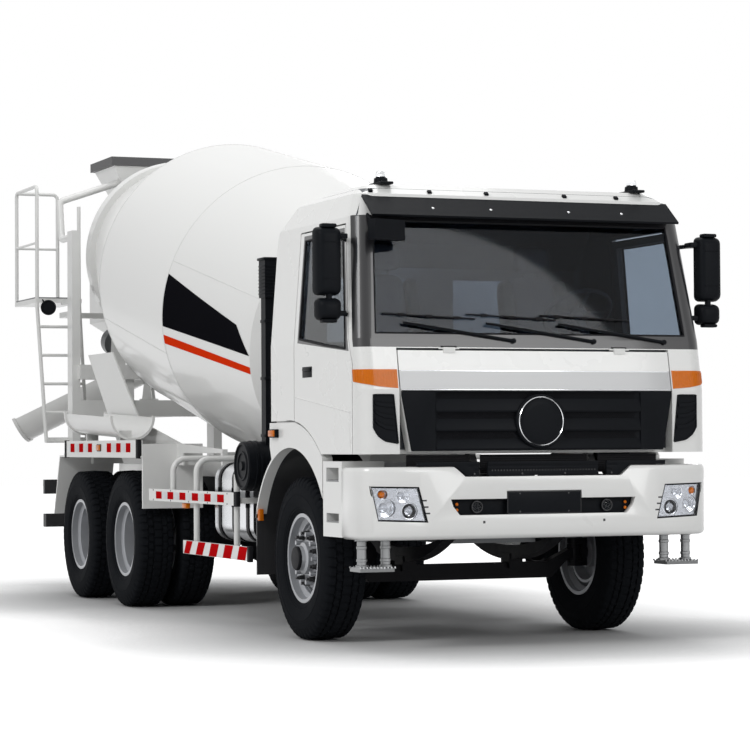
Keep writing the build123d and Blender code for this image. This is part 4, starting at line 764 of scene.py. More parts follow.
def build_bumper():
    """Bumper shell with its notch, slot and lamp openings, the dark insert and the raised panel."""
    reach = PLATE_HALF + 0.002
    cutters = [bumper_solid([(0.650, BUMPER_WALL), (1.250, BUMPER_WALL)]),
               plate_across(NOTCH_OUTLINE, 1.200, 1.400), plate_across(SLOT_OUTLINE, 1.200, 1.400),
               plate_across(box_outline(-reach, reach, 0.940, PLATE_Z[1] + 0.004), 1.348, 1.400)]
    for side, _ in SIDES:
        cutters.append(plate_across([(side * y, z) for y, z in LAMP_CORNERS], 1.180, 1.400))
    shell = carve("bumper_shell", bumper_solid(BUMPER_ROWS_Z), cutters, "bumper_white", bevel=0.004)
    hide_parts("front_bumper")
    bm = bmesh.new()
    for side, _ in SIDES:
        add_side_block(bm, side, (1.060, 1.315), (0.352, 0.420), (0.780, 0.840), 0.003)
    new_piece("bumper_brackets", bm, "black_paint")
    insert = bmesh.new()
    add_block(insert, (SLOT_FACE_X - 0.030, -0.655, 0.845), (SLOT_FACE_X, 0.655, 0.955), 0.003)
    add_block(insert, (SLOT_FACE_X - 0.005, -0.120, 0.862), (1.350, 0.120, 0.938), 0.002)
    add_block(insert, (1.348, -PLATE_HALF, PLATE_Z[0]), (1.358, PLATE_HALF, PLATE_Z[1]), 0.0015)
    for side, _ in SIDES:
        for y, z, radius, length in ((0.455, 0.900, 0.036, 0.020), (0.590, 0.918, 0.012, 0.014),
                                     (0.590, 0.882, 0.012, 0.014)):
            add_turned(insert, [(radius, -0.004), (radius, length - 0.002), (radius - 0.002, length),
                                (0, length)], at(SLOT_FACE_X - 0.005, side * y, z), FORWARD, 36)
    obj = new_piece("slot_insert", insert, "black_plastic")
    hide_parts("bumper_slot")
    outline = PANEL_HALF_OUTLINE + [(-y, z) for y, z in reversed(PANEL_HALF_OUTLINE)]
    grooves = [plate_across(box_outline(-half, half, low, high), 1.346, 1.360)
               for half, low, high in PANEL_GROOVES]
    for side, _ in SIDES:
        gap = [(side * y, z) for y, z in box_outline(*LUG_GAP, 1.080, 1.200)]
        grooves.append(plate_across(gap, 1.310, 1.370))
    carve("bumper_top_panel", plate_across(outline, 1.326, 1.350), grooves, "black_plastic", bevel=0.0015)
    holes = bmesh.new()
    for index in range(36):
        y = -0.359 + 0.0205 * index
        add_block(holes, (1.3450, y, 1.1245), (1.3480, y + 0.007, 1.1335), 0)
    for y in (-0.48, -0.15, 0.15, 0.48):
        add_turned(holes, [(0.007, 0.0), (0.006, 0.003), (0, 0.004)], at(1.3498, y, 1.107), FORWARD, 12)
    new_piece("bumper_panel_details", holes, "nut_steel")
    cooler = bmesh.new()
    for y0, y1 in ((-0.880, -0.455), (-0.375, 0.375), (0.455, 0.880)):
        add_block(cooler, (1.195, y0, 1.110), (1.201, y1, 1.228), 0.001)
        for rib in range(8):
            add_block(cooler, (1.200, y0, 1.114 + 0.0142 * rib), (1.205, y1, 1.121 + 0.0142 * rib), 0.001)
    new_piece("cooler_face", cooler, "black_paint")


# Lamps

# Each bowl as (y, z, radius, depth)
LAMP_BOWLS = [(0.915, 0.880, 0.052, 0.046), (0.960, 0.975, 0.044, 0.034), (1.062, 0.900, 0.058, 0.040),
              (1.085, 0.985, 0.030, 0.022)]


def lamp_point(side, u, v, sink):
    """A point over a headlamp, sunk behind the bumper's face; u runs outward and v upward."""
    inner_top, inner_low, outer_low, outer_top = [Vector(corner) for corner in LAMP_CORNERS]
    place = inner_low.lerp(outer_low, u).lerp(inner_top.lerp(outer_top, u), v)
    face_x = along_line([(0.0, 1.360)] + [(y, x) for x, y in reversed(BUMPER_PLAN)], place.x)
    return at(face_x - sink, side * place.x, place.y)


def build_headlamps():
    """Clear lens, dark surround, fluted bowls, projector and bulbs of each headlamp."""
    border = [(s / 12, 0) for s in range(12)] + [(1, s / 8) for s in range(8)]
    border += [(1 - s / 12, 1) for s in range(12)] + [(0, 1 - s / 8) for s in range(9)]
    for side, hand in SIDES:
        def turned_piece(name, mat, profile, start, steps, angle=32, closed=False):
            bm = bmesh.new()
            add_turned(bm, profile, start, FORWARD, steps, closed)
            new_piece(f"{name}_{hand}", bm, mat, smooth_angle=angle)

        lens = bmesh.new()
        add_skin(lens, lambda u, v, layer: lamp_point(side, 0.02 + 0.96 * u, 0.03 + 0.94 * v,
                                                      0.0065 - 0.003 * layer), 14, 8)
        new_piece(f"headlamp_lens_{hand}", lens, "clear_lens", smooth_angle=60)
        rim = bmesh.new()
        add_tube(rim, [lamp_point(side, u, v, 0.0110) for u, v in border], 0.0100, 8)
        new_piece(f"headlamp_surround_{hand}", rim, "black_plastic", smooth_angle=60)
        housing = bmesh.new()
        add_skin(housing, lambda u, v, layer: lamp_point(side, u, v, 0.085 - 0.065 * layer), 12, 8)
        hollows = []
        bowls = bmesh.new()
        bulbs = bmesh.new()
        for y, z, radius, depth in LAMP_BOWLS:
            back_x = 1.330 - max(0.0, y - 0.960) * 0.36 - depth
            hollows.append(bmesh.new())
            add_turned(hollows[-1], [(0, 0), (radius * 0.45, depth * 0.06), (radius * 0.80, depth * 0.35),
                                     (radius, depth), (radius, 0.200), (0, 0.200)],
                       at(back_x, side * y, z), FORWARD, 40)
            back = at(back_x + 0.001, side * y, z)
            for ring in range(4):
                low = radius * (0.50 + 0.12 * ring)
                height = depth * (0.10 + 0.22 * ring)
                section = [(low, height), (low + 0.003, height + 0.0035), (low + 0.006, height + 0.004),
                           (low + 0.004, height - 0.001)]
                add_turned(bowls, section, back, FORWARD, 28, closed=True)
            cap = radius * 0.40
            add_turned(bulbs, [(cap, depth * 0.66), (cap * 0.92, depth * 0.66 + cap * 0.4),
                               (cap * 0.6, depth * 0.66 + cap * 0.75), (0, depth * 0.66 + cap * 0.9)],
                       back, FORWARD, 24)
        face = carve(f"headlamp_housing_{hand}", housing, hollows, "reflector")
        if side < 0:
            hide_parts("headlamps")
        new_piece(f"headlamp_flutes_{hand}", bowls, "chrome")
        new_piece(f"headlamp_bulbs_{hand}", bulbs, "clear_lens", smooth_angle=60)
        turned_piece("projector_ring", "nut_steel",
                     [(0.030, 0.036), (0.036, 0.043), (0.043, 0.036), (0.043, 0.030), (0.030, 0.030)],
                     at(1.285, side * 0.915, 0.880), 36, closed=True)
        turned_piece("turn_bulb", "amber",
                     [(0.022, 0.0), (0.022, 0.008), (0.017, 0.020), (0.008, 0.026), (0, 0.027)],
                     at(1.279, side * 1.085, 0.985), 28, 60)
        fog = at(1.3252, side * 0.455, 0.900)
        turned_piece("fog_lamp_lens", "clear_lens",
                     [(0.031, 0.0), (0.031, 0.004), (0.020, 0.009), (0.008, 0.011), (0, 0.0113)], fog, 36, 60)
        turned_piece("fog_lamp_ring", "nut_steel",
                     [(0.031, 0.0), (0.033, 0.008), (0.038, 0.008), (0.039, 0.0)], fog, 40, closed=True)
        dots = bmesh.new()
        for z in (0.882, 0.918):
            add_turned(dots, [(0.010, 0.0), (0.010, 0.003), (0.006, 0.006), (0, 0.007)],
                       at(1.3192, side * 0.590, z), FORWARD, 20)
        new_piece(f"slot_dots_{hand}", dots, "amber")


def build_plate():
    """Blank number plate: a raised rim and four screw heads."""
    bm = bmesh.new()
    for y0, y1, z0, z1 in ((-0.258, 0.258, 0.854, 0.8575), (-0.258, 0.258, 0.9905, 0.994),
                           (-0.258, -0.2545, 0.854, 0.994), (0.2545, 0.258, 0.854, 0.994)):
        add_block(bm, (1.3572, y0, z0), (1.3592, y1, z1), 0.0006)
    for y in (-0.17, 0.17):
        for z in (0.867, 0.981):
            add_turned(bm, [(0.0055, 0.0), (0.0052, 0.0014), (0.0030, 0.0018), (0, 0.0018)],
                       at(1.3579, y, z), FORWARD, 14)
    new_piece("number_plate_rim", bm, "nut_steel")


# Marker strips

UPPER_RED = [(-2.979, -2.832), (-2.682, -2.532), (-2.377, -2.228), (-2.071, -1.922), (-1.775, -1.625),
             (-1.477, -1.323)]
UPPER_Z = (0.888, 0.944)

# Slanted marks as (top start, top end, foot start, foot end)
LOWER_RED = [(-2.204, -2.057, -2.269, -2.136), (-1.918, -1.752, -1.986, -1.824),
             (-1.616, -1.438, -1.678, -1.502), (-1.301, -1.119, -1.356, -1.178),
             (-0.985, -0.812, -1.036, -0.860)]
REAR_RED = [-5.44, -5.16, -4.88, -4.30, -4.02, -3.74]
REAR_Z = (1.243, 1.317)
MARKER_FACE = 1.245


def side_plates(name, mat, outlines, y, thickness, bevel=0.0005):
    """Plates on both sides of the chassis from outlines in X and Z, standing outward from y."""
    for side, hand in SIDES:
        bm = bmesh.new()
        for outline in outlines:
            add_prism(bm, [at(x, side * y, z) for x, z in outline], Vector((0, side * thickness, 0)), bevel)
        new_piece(f"{name}_{hand}", bm, mat)


def build_markers():
    """Reflectors, side lamps and end caps of the marker strips, and the rear lamps."""
    red = [box_outline(a, b, *UPPER_Z) for a, b in UPPER_RED]
    red += [[(c, 0.494), (d, 0.494), (b, 0.588), (a, 0.588)] for a, b, c, d in LOWER_RED]
    red += [box_outline(x - 0.065, x + 0.065, *REAR_Z) for x in REAR_RED]
    side_plates("red_reflectors", "red", red, MARKER_FACE, 0.0012)
    pale = [box_outline(b + 0.018, c - 0.018, *UPPER_Z) for (_, b), (c, _) in zip(UPPER_RED, UPPER_RED[1:])]
    pale += [box_outline(a + 0.085, b - 0.085, *REAR_Z)
             for a, b in zip(REAR_RED, REAR_RED[1:]) if b - a < 0.4]
    side_plates("white_reflectors", "bright_white", pale, MARKER_FACE, 0.0010)
    caps = [(-1.100, -1.036, 0.863, 0.969), (-0.812, -0.766, 0.485, 0.597), (-5.697, -5.640, 1.194, 1.346),
            (-3.520, -3.463, 1.194, 1.346)]
    rivets = [(x - 0.006, x + 0.006, z - 0.006, z + 0.006) for x in (-3.05, -2.60, -2.15, -1.70, -1.25)
              for z in (0.879, 0.953)]
    for name, mat, boxes, y, thickness, bevel in (
        ("strip_caps", "soft_rubber", caps, 1.217, 0.032, 0.004),
        ("side_lamp_bases", "black_plastic", [(-4.662, -4.538, 1.250, 1.310), (-0.345, -0.215, 1.345, 1.402)],
         1.2215, 0.028, 0.004),
        ("side_lamps", "amber", [(-4.652, -4.548, 1.256, 1.304), (-0.336, -0.224, 1.352, 1.395)],
         1.243, 0.016, 0.006),
        ("rail_lamps", "amber", [(-2.360, -2.250, 0.826, 0.866)], 1.200, 0.034, 0.006),
        ("flap_lamps", "amber", [(-0.690, -0.645, 0.775, 0.855)], 1.180, 0.034, 0.006),
        ("rivets", "nut_steel", rivets, MARKER_FACE, 0.002, 0.0008),
    ):
        side_plates(name, mat, [box_outline(*box) for box in boxes], y, thickness, bevel)
    bars = [bmesh.new(), bmesh.new()]
    for index in range(10):
        y0 = -1.10 + 0.22 * index
        add_block(bars[index % 2], (-6.9012, y0 + 0.004, 0.585), (-6.8995, y0 + 0.216, 0.655), 0.0004)
    new_piece("underrun_red", bars[1], "red")
    new_piece("underrun_white", bars[0], "bright_white")
    for name, mat, y0, y1 in (("tail_amber", "amber", 0.985, 1.115), ("tail_red", "red", 0.845, 0.975),
                              ("tail_clear", "bright_white", 0.715, 0.835)):
        lens = bmesh.new()
        for side, _ in SIDES:
            add_side_block(lens, side, (-6.916, -6.898), (y0, y1), (0.874, 0.976), 0.006)
        new_piece(name, lens, mat)


# Steps, doors and mirrors

TOOTH_PITCH = 0.0235
POST_X = 1.100
WINDOW_OUTLINE = [(0.200, 1.990), (0.200, 2.640), (0.880, 2.640), (1.030, 2.000), (1.040, 1.900),
                  (0.700, 1.930)]
DOOR_CREASE_Y = 1.2245

# Sections of a mirror housing as (x, inset, corner radius), from its glass to its back
MIRROR_SECTIONS = [
    (1.0385, 0.016, 0.020), (1.030, 0.014, 0.022), (1.030, 0.005, 0.031), (1.036, 0.0, 0.036),
    (1.060, 0.001, 0.036), (1.092, 0.008, 0.034), (1.112, 0.018, 0.030), (1.124, 0.034, 0.024),
    (1.128, 0.052, 0.015),
]
MIRROR_ARMS = [
    ((0.990, 1.082), (1.215, 1.330), (2.588, 2.622)), ((1.020, 1.082), (1.225, 1.345), (2.104, 2.136)),
    ((1.045, 1.110), (1.300, 1.400), (2.655, 2.680)), ((1.045, 1.110), (1.300, 1.400), (2.058, 2.080)),
]


def build_steps():
    """Toothed metal treads in the step boxes and on the hanging steps, and collars on their posts."""
    for side, hand in SIDES:
        bm = bmesh.new()
        for floor_z in (0.800, 1.060):
            add_side_block(bm, side, (0.683, 0.897), (1.124, 1.219), (floor_z, floor_z + 0.006), 0.0015)
            for row_y in (1.140, 1.164, 1.188, 1.212):
                for tooth in range(9):
                    base = at(0.696 + TOOTH_PITCH * tooth, side * row_y, floor_z + 0.005)
                    add_turned(bm, [(0.0095, 0.0), (0.0060, 0.008), (0, 0.008)], base, UP, 6)
        for x in (1.018, 1.184):
            for tooth in range(11):
                base = at(x, side * (0.955 + TOOTH_PITCH * tooth), 0.5215)
                add_turned(bm, [(0.0085, 0.0), (0.0045, 0.011), (0, 0.011)], base, UP, 6)
        for y in (1.035, 1.065, 1.095, 1.178):
            for hole in range(6):
                centre = at(1.030 + 0.028 * hole, side * y, 0.5175)
                add_turned(bm, [(0.006, 0.004), (0.008, 0.009), (0.011, 0.009), (0.012, 0.004)], centre,
                           UP, 12, closed=True)
        for y in (0.985, 1.145):
            add_turned(bm, [(0.030, 0.0), (0.030, 0.190)], at(POST_X, side * y, 0.520), UP, 32)
            for z, radius in ((0.522, 0.040), (0.560, 0.034), (0.640, 0.034), (0.688, 0.044)):
                add_turned(bm, [(0.029, 0.0), (radius, 0.004), (radius, 0.018), (0.029, 0.022)],
                           at(POST_X, side * y, z), UP, 32, closed=True)
        new_piece(f"step_treads_{hand}", bm, "tread_metal")


def door_skin_y(z):
    """Outer side of the door at a height."""
    return 1.225 - max(0.0, z - 1.960) * 0.0769


def add_mirror_shell(bm, side, y0, y1, z0, z1):
    """One mirror housing: a rim round its recessed glass and a back that narrows forward."""
    loops = []
    for x, inset, corner in MIRROR_SECTIONS:
        loop = []
        for corner_y, corner_z, turn in ((y1, z1, 0), (y0, z1, 90), (y0, z0, 180), (y1, z0, 270)):
            middle_y = corner_y - math.copysign(inset + corner, corner_y - (y0 + y1) / 2)
            middle_z = corner_z - math.copysign(inset + corner, corner_z - (z0 + z1) / 2)
            for step in range(6):
                angle = math.radians(turn + 18 * step)
                y = middle_y + corner * math.cos(angle)
                loop.append(bm.verts.new(at(x, side * y, middle_z + corner * math.sin(angle))))
        loops.append(loop)
    bridge(bm, loops, capped=True)


def bent_arm(a, b, c, steps=6):
    """Points of a smooth bend through three points."""
    path = []
    for p, q, r, s in ((a * 2 - b, a, b, c), (a, b, c, c * 2 - b)):
        for step in range(steps):
            t = step / steps
            path.append(0.5 * ((2 * q) + (r - p) * t + (2 * p - 5 * q + 4 * r - s) * t * t
                               + (3 * q - p - 3 * r + s) * t ** 3))
    return path + [c]


def build_doors():
    """Window seals, creases, handles with lock, and mirrors of both doors."""
    for side, hand in SIDES:
        body = f"door_{hand}"
        seal = bmesh.new()
        path = [at(x, side * (door_skin_y(z) - 0.002), z) for x, z in ring_line(WINDOW_OUTLINE, 8)]
        add_tube(seal, path + path[:1], 0.008, 8)
        new_piece(f"window_seal_{hand}", seal, "soft_rubber", body, 60)
        recess = bmesh.new()
        add_side_block(recess, side, (0.262, 0.440), (1.2235, 1.2268), (1.735, 1.805), 0.0012)
        new_piece(f"door_grip_plate_{hand}", recess, "black_plastic", body)
        crease = bmesh.new()
        bend = at(1.118, side * DOOR_CREASE_Y, 1.500)
        add_tube(crease, [at(0.118, side * DOOR_CREASE_Y, 1.612), bend], 0.0045, 8)
        add_tube(crease, [bend, at(1.118, side * DOOR_CREASE_Y, 1.268)], 0.0030, 8)
        new_piece(f"door_crease_{hand}", crease, "white", body, 60)
        grip = bmesh.new()
        add_side_block(grip, side, (0.276, 0.428), (1.206, 1.236), (1.774, 1.799), 0.008)
        add_turned(grip, [(0.012, 0.0), (0.012, 0.006), (0.009, 0.008), (0, 0.008)],
                   at(0.352, side * 1.218, 1.752), (0, side, 0), 24)
        new_piece(f"door_grip_{hand}", grip, "black_plastic", body)
        glass = bmesh.new()
        add_side_block(glass, side, (1.0325, 1.0375), (1.278, 1.424), (2.246, 2.644))
        add_side_block(glass, side, (1.0325, 1.0375), (1.278, 1.414), (2.091, 2.199))
        new_piece(f"mirror_glass_{hand}", glass, "mirror", body)
        shells = bmesh.new()
        add_mirror_shell(shells, side, 1.262, 1.440, 2.230, 2.660)
        add_mirror_shell(shells, side, 1.262, 1.430, 2.075, 2.215)
        add_tube(shells, bent_arm(at(0.915, side * 1.150, 2.590), at(0.985, side * 1.235, 2.600),
                                  at(1.060, side * 1.310, 2.600)), 0.014, 12)
        add_tube(shells, [at(1.040, side * 1.195, 2.110), at(1.060, side * 1.310, 2.130)], 0.014, 12)
        add_tube(shells, [at(1.075, side * 1.345, 2.200), at(1.075, side * 1.345, 2.245)], 0.020, 12)
        housing = new_piece(f"mirror_shells_{hand}", shells, "black_plastic", body, 40)
        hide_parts(f"door_mirrors_{hand}")
        arms = bmesh.new()
        for x, y, z in MIRROR_ARMS:
            add_side_block(arms, side, x, y, z, 0.009)
        for z in (2.330, 2.560):
            add_side_block(arms, side, (1.120, 1.131), (1.300, 1.402), (z, z + 0.006), 0.002)
        new_piece(f"mirror_brackets_{hand}", arms, "black_plastic", body)


# Cab outside

BEACON = (0.850, 0.900)
SCREEN_CORNERS = [(-1.090, 1.990), (1.090, 1.990), (1.040, 2.715), (-1.040, 2.715)]


def screen_x(z):
    """Outer face of the windscreen at a height."""
    return 1.222 - (z - 1.960) * SCREEN_LEAN - 0.0145


def build_cab_front():
    """Wiper blades, screen seal, roof clips, visor rivets and beacons."""
    blades = bmesh.new()
    for y0, y1 in ((-1.03, -0.40), (-0.46, 0.17), (0.06, 0.69)):
        line = []
        for step in range(9):
            share = step / 8
            z = 2.118 - 0.030 * share
            gap = 0.012 + 0.004 * math.sin(math.pi * share)
            line.append(at(screen_x(z) + gap, y0 + (y1 - y0) * share, z))
        add_tube(blades, line, 0.0055, 6)
        for share in (0.2, 0.5, 0.8):
            z = 2.118 - 0.030 * share
            y = y0 + (y1 - y0) * share
            add_block(blades, (screen_x(z) + 0.004, y - 0.022, z - 0.010),
                      (screen_x(z) + 0.021, y + 0.022, z + 0.010), 0.003)
    new_piece("wiper_blades", blades, "soft_rubber", "cab", 60)
    seal = bmesh.new()
    path = []
    for y, z in ring_line(SCREEN_CORNERS, 12):
        bend = max(0.0, abs(y) - (1.115 - 0.060 * (z - 1.960) / 0.780))
        path.append(at(screen_x(z) + 0.006 - bend * 0.35, y, z))
    add_tube(seal, path + path[:1], 0.010, 8)
    new_piece("screen_seal", seal, "soft_rubber", "cab", 60)
    clips = bmesh.new()
    for y in (-1.020, -0.613, -0.215, 0.344, 0.722):
        add_block(clips, (0.955, y - 0.014, 2.898), (0.985, y + 0.014, 2.918), 0.004,
                  Matrix.Rotation(math.radians(35), 3, "Y"))
    domes = bmesh.new()
    for side, _ in SIDES:
        x, y = BEACON[0], side * BEACON[1]
        add_side_block(clips, side, (0.740, 0.960), (0.855, 0.945), (2.954, 2.972), 0.006)
        add_turned(clips, [(0.046, 0.0), (0.043, 0.030), (0.034, 0.034), (0, 0.034)], at(x, y, 2.970), UP, 32)
        add_turned(domes, [(0.0325, 0.0), (0.0335, 0.018), (0.028, 0.034), (0.016, 0.043), (0, 0.046)],
                   at(x, y, 3.0055), UP, 32)
    new_piece("roof_clips", clips, "black_plastic", "cab")
    rivets = bmesh.new()
    for y in (-0.643, -0.240, 0.313, 0.697):
        add_turned(rivets, [(0.010, 0.0), (0.009, 0.004), (0.005, 0.006), (0, 0.006)], at(1.098, y, 2.7925),
                   (0.608, 0, 0.794), 16)
    new_piece("visor_rivets", rivets, "chrome", "cab")
    new_piece("beacon_domes", domes, "clear_lens", "cab", 60)


# Seats

SEAT_Y = 0.56
SEAT_LEAN = math.radians(-13)
ROUND_POWER = 5.0
SEAM_HALF = 0.014
SEAM_DEPTH = 0.006


def cushion(name, centre, half, mat="fabric", tilt=0.0, crown=(0.0, 0.0, 0.02), seams=(), grain=26):
    """A crowned foam cushion: a rounded block whose faces swell, with stitched grooves across it."""
    bm = bmesh.new()
    bmesh.ops.create_cube(bm, size=2.0)
    bmesh.ops.subdivide_edges(bm, edges=bm.edges, cuts=grain, use_grid_fill=True)
    turn = Matrix.Rotation(tilt, 3, "Y")
    for vert in bm.verts:
        p = vert.co.copy()
        reach = sum(abs(c) ** ROUND_POWER for c in p) ** (1 / ROUND_POWER)
        p = p * (max(abs(c) for c in p) / reach)
        spot = Vector()
        for axis in range(3):
            rest = math.prod(max(0.0, 1 - p[other] ** 2) for other in range(3) if other != axis)
            spot[axis] = p[axis] * half[axis] * (1 + crown[axis] / half[axis] * rest)
        for axis, place in seams:
            gap = abs(p[axis] - place) * half[axis]
            if gap < SEAM_HALF:
                spot -= spot.normalized() * SEAM_DEPTH * (1 - gap / SEAM_HALF) ** 2
        vert.co = at(*centre) + turn @ spot
    obj = new_piece(name, bm, mat, "cab", 180)
    return obj


def build_seats():
    """Seats of driver and passenger: cushion, back, side bolsters and head rest on a base."""
    for side, hand in SIDES:
        y = side * SEAT_Y
        bottom = cushion(f"seat_cushion_{hand}", (0.315, y, 1.835), (0.235, 0.175, 0.055),
                         seams=[(0, -0.35), (0, 0.35)])
        cushion(f"seat_back_{hand}", (0.030, y, 2.165), (0.055, 0.165, 0.280), tilt=SEAT_LEAN,
                crown=(0.02, 0, 0), seams=[(2, -0.3), (2, 0.35)])
        cushion(f"head_rest_{hand}", (0.005, y, 2.560), (0.042, 0.125, 0.088), tilt=math.radians(-8),
                crown=(0.015, 0, 0), seams=[(1, -0.55), (1, 0.55)], grain=18)
        for edge, word in ((-1, "inner"), (1, "outer")):
            cushion(f"seat_edge_{word}_{hand}", (0.310, y + edge * 0.212, 1.845), (0.235, 0.042, 0.062),
                    "side_fabric", crown=(0, 0.006, 0.01), grain=16)
            cushion(f"back_edge_{word}_{hand}", (0.050, y + edge * 0.205, 2.150), (0.062, 0.042, 0.270),
                    "side_fabric", tilt=SEAT_LEAN, crown=(0.01, 0.006, 0), grain=16)
        base = bmesh.new()
        add_block(base, (0.100, y - 0.225, 1.560), (0.470, y + 0.225, 1.775), 0.02)
        add_block(base, (-0.050, y - 0.170, 1.905), (-0.010, y + 0.170, 2.380), 0.015,
                  Matrix.Rotation(SEAT_LEAN, 3, "Y"))
        for post in (-0.055, 0.055):
            add_tube(base, [at(-0.015, y + post, 2.360), at(-0.005, y + post, 2.500)], 0.007, 12)
        new_piece(f"seat_frame_{hand}", base, "black_plastic", "cab")
        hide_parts("seats")


# Tank, intake and rear

CAN_X = -0.915
CAN_Z = 1.150

# Turned outlines as (radius, distance along the axis)
CAN_END = [(0.171, 0.0), (0.171, 0.010), (0.160, 0.018), (0.150, 0.018), (0.146, 0.008), (0.105, 0.008),
           (0.100, 0.016), (0.090, 0.016), (0.086, 0.008), (0.034, 0.008), (0.030, 0.022), (0, 0.022)]
WORK_LAMP = [(0.020, -0.070), (0.062, -0.030), (0.070, 0.0), (0.070, 0.018), (0.062, 0.018), (0.058, 0.004),
             (0, 0.004)]
CHAMBER = [(0.040, -0.090), (0.078, -0.070), (0.086, -0.010), (0.093, -0.006), (0.093, 0.006),
           (0.086, 0.010), (0.078, 0.062), (0.035, 0.078), (0, 0.078)]
CHAMBER_PLACES = [(-0.170, 0.640, 0.560), (-4.210, 0.560, 0.680), (-5.560, 0.560, 0.680)]


def build_chassis_trim():
    """Filler cap, strap buckles, filter can end, intake ribs, platform bars, work lamp and brake chambers."""
    cap = bmesh.new()
    add_turned(cap, [(0.066, 0.0), (0.066, 0.016), (0.060, 0.022), (0.030, 0.024), (0, 0.024)],
               at(-1.350, -0.900, 1.209), UP, 40)
    add_block(cap, (-1.400, -0.910, 1.230), (-1.300, -0.890, 1.246), 0.005)
    for x in (-1.840, -1.530, -1.220):
        add_block(cap, (x - 0.016, -1.1145, 0.880), (x + 0.016, -1.104, 0.960), 0.003)
        add_tube(cap, [at(x, -1.112, 0.850), at(x, -1.112, 0.990)], 0.006, 10)
    new_piece("tank_fittings", cap, "black_paint")
    can = bmesh.new()
    add_turned(can, CAN_END, at(CAN_X, -1.2345, CAN_Z), (0, -1, 0), 56)
    for y in (-1.195, -1.160, -0.990):
        add_turned(can, [(0.1715, 0.0), (0.178, 0.003), (0.178, 0.015), (0.1715, 0.018)], at(CAN_X, y, CAN_Z),
                   (0, 1, 0), 56, closed=True)
    for rib in range(9):
        z = 2.350 + 0.024 * rib
        add_block(can, (-0.936, -1.114, z), (-0.796, -0.982, z + 0.008), 0.002)
    add_block(can, (-0.945, -1.122, 2.586), (-0.788, -0.975, 2.606), 0.008)
    for z in (1.35, 1.75, 2.15):
        add_block(can, (-0.922, -1.106, z), (-0.818, -1.014, z + 0.022), 0.004)
    new_piece("intake_trim", can, "black_plastic")
    bars = bmesh.new()
    for index in range(20):
        x = -7.650 + 0.040 * index
        add_block(bars, (x, -1.190, 2.649), (x + 0.006, -0.780, 2.661), 0.001)
    for y in (-1.190, -0.990, -0.790):
        add_block(bars, (-7.660, y - 0.004, 2.649), (-6.880, y + 0.004, 2.663), 0.001)
    new_piece("platform_bars", bars, "steel")
    lamp = bmesh.new()
    add_turned(lamp, WORK_LAMP, at(-6.730, -1.120, 2.560), (0.9, -0.3, -0.2), 32)
    add_tube(lamp, [at(-6.800, -1.110, 2.575), at(-6.870, -1.120, 2.600), at(-6.880, -1.140, 2.640)],
             0.011, 10)
    new_piece("work_lamp", lamp, "black_plastic")
    chambers = bmesh.new()
    for side, _ in SIDES:
        for x, y, z in CHAMBER_PLACES:
            add_turned(chambers, CHAMBER, at(x, side * y, z), FORWARD, 28)
    new_piece("brake_chambers", chambers, "black_paint")


# Stage

SKY_COLOUR = (0.97, 0.985, 1.0, 1)
SKY_STRENGTH = 0.42
PLAIN_WHITE = (1, 1, 1, 1)
FLOOR_HALF = 60.0
FLOOR_GREY = (0.60, 0.60, 0.60, 1)

# Lamps as (name, place, aim, size, power)
LAMPS = [
    ("key light", (9.0, -13.0, 10.0), (1.0, 0.0, 1.6), 6.0, 900),
    ("front light", (16.0, 4.0, 6.0), (3.0, 0.0, 1.5), 6.0, 420),
    ("top light", (-1.0, 0.0, 12.0), (0.0, 0.0, 1.0), 9.0, 420),
    ("rear light", (-11.0, 8.0, 7.0), (0.0, 0.0, 2.0), 6.0, 260),
]
CAMERA_PLACE = (16.084, -7.031, 1.304)
CAMERA_YAW, CAMERA_PITCH, CAMERA_ROLL = [math.radians(angle) for angle in (158.2326, 1.5203, -0.3592)]
CAMERA_LENS = 123.318


def direct_view(tree):
    """1 for what the camera sees straight, in a reflection or through glass."""
    path = add_node(tree, "LightPath")
    total = path["Is Camera Ray"]
    for kind in ("Is Glossy Ray", "Is Transmission Ray"):
        total = combine(tree, "MAXIMUM", total, path[kind])
    return total


def floor_material():
    """Pale floor that fades to plain white away from the truck and keeps the shadow near it; under and beside
    the truck ambient occlusion dims its glow, a painted shade that deepens that shadow.
    """
    mat = bpy.data.materials.new("floor")
    mat.use_nodes = True
    tree = mat.node_tree
    tree.nodes.clear()
    diffuse = add_node(tree, "BsdfDiffuse", {"Color": FLOOR_GREY})["BSDF"]
    place = add_node(tree, "NewGeometry")["Position"]
    reach = add_node(tree, "VectorMath", {0: place}, operation="LENGTH")["Value"]
    fade = add_node(tree, "MapRange", {"Value": reach, "From Min": 5.0, "From Max": 11.0, "To Min": 0.66,
                                       "To Max": 1.0}, interpolation_type="SMOOTHSTEP")["Result"]
    # Ambient occlusion dims the floor's glow under and beside the truck: painted shade that deepens the
    # truck's shadow on the floor
    occlusion_for_painted_shade = add_node(tree, "AmbientOcclusion", {"Distance": 1.9})["AO"]
    clear = combine(tree, "MULTIPLY", combine(tree, "POWER", occlusion_for_painted_shade, 6.0), fade)
    strength = combine(tree, "MULTIPLY", direct_view(tree), clear)
    glow = add_node(tree, "Emission", {"Strength": strength})["Emission"]
    both = add_node(tree, "AddShader", {0: diffuse, 1: glow})["Shader"]
    add_node(tree, "OutputMaterial", {"Surface": both})
    return mat


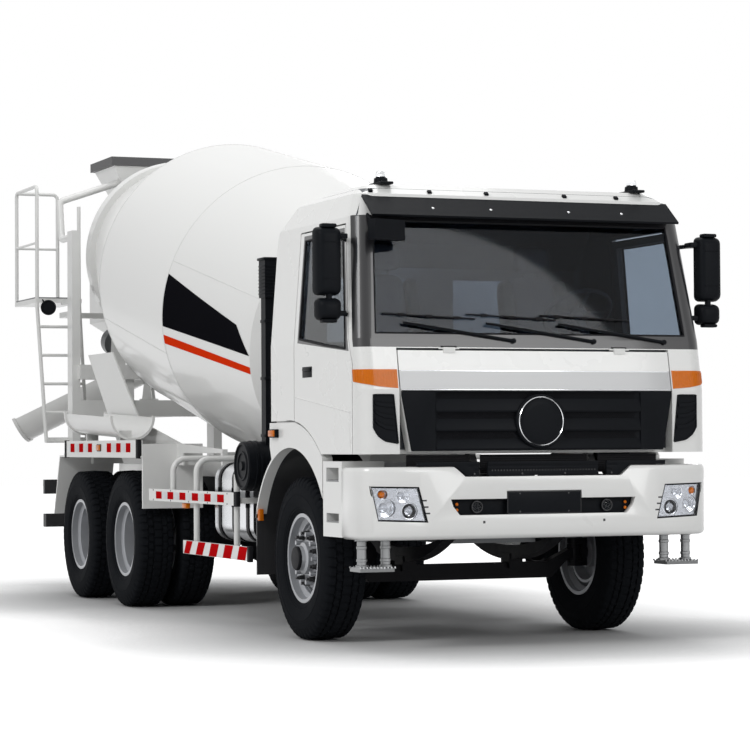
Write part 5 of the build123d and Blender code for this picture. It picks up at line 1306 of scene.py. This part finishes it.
def stage_scene():
    """World, floor, lamps and the camera at the photograph's view."""
    scene = bpy.context.scene
    scene.world = bpy.data.worlds.new("studio")
    scene.world.use_nodes = True
    tree = scene.world.node_tree
    tree.nodes.clear()
    sky = add_node(tree, "Background", {"Color": SKY_COLOUR, "Strength": SKY_STRENGTH})["Background"]
    plain = add_node(tree, "Background", {"Color": PLAIN_WHITE, "Strength": 1.0})["Background"]
    both = add_node(tree, "MixShader", {"Fac": direct_view(tree), 1: sky, 2: plain})["Shader"]
    add_node(tree, "OutputWorld", {"Surface": both})

    mesh = bpy.data.meshes.new("floor")
    corners = box_outline(-FLOOR_HALF, FLOOR_HALF, -FLOOR_HALF, FLOOR_HALF)
    mesh.from_pydata([(x, y, 0) for x, y in corners], [], [(0, 1, 2, 3)])
    floor = bpy.data.objects.new("floor", mesh)
    scene.collection.objects.link(floor)
    floor.location.z = -0.001
    mesh.materials.append(floor_material())

    for name, place, aim, size, power in LAMPS:
        data = bpy.data.lights.new(name, "AREA")
        data.shape = "DISK"
        data.size = size
        data.energy = power
        lamp = bpy.data.objects.new(name, data)
        scene.collection.objects.link(lamp)
        lamp.location = place
        lamp.rotation_euler = (Vector(aim) - Vector(place)).to_track_quat("-Z", "Y").to_euler()

    camera_data = bpy.data.cameras.new("camera")
    camera_data.sensor_width = 36.0
    camera_data.lens = CAMERA_LENS
    camera_data.clip_end = 200.0
    camera = bpy.data.objects.new("camera", camera_data)
    scene.collection.objects.link(camera)
    level = math.cos(CAMERA_PITCH)
    forward = Vector((math.cos(CAMERA_YAW) * level, math.sin(CAMERA_YAW) * level, math.sin(CAMERA_PITCH)))
    right = forward.cross(Vector(UP)).normalized()
    up = right.cross(forward)
    turned_right = right * math.cos(CAMERA_ROLL) + up * math.sin(CAMERA_ROLL)
    turned_up = up * math.cos(CAMERA_ROLL) - right * math.sin(CAMERA_ROLL)
    axes = Matrix((turned_right, turned_up, -forward)).transposed().to_4x4()
    camera.matrix_world = Matrix.Translation(at(*CAMERA_PLACE)) @ axes
    scene.camera = camera
    scene.view_settings.view_transform = "Standard"


for build in (build_wheels, build_drum, build_grille, build_corners, build_bumper, build_headlamps,
              build_plate, build_markers, build_steps, build_doors, build_cab_front, build_seats,
              build_chassis_trim, stage_scene):
    build()
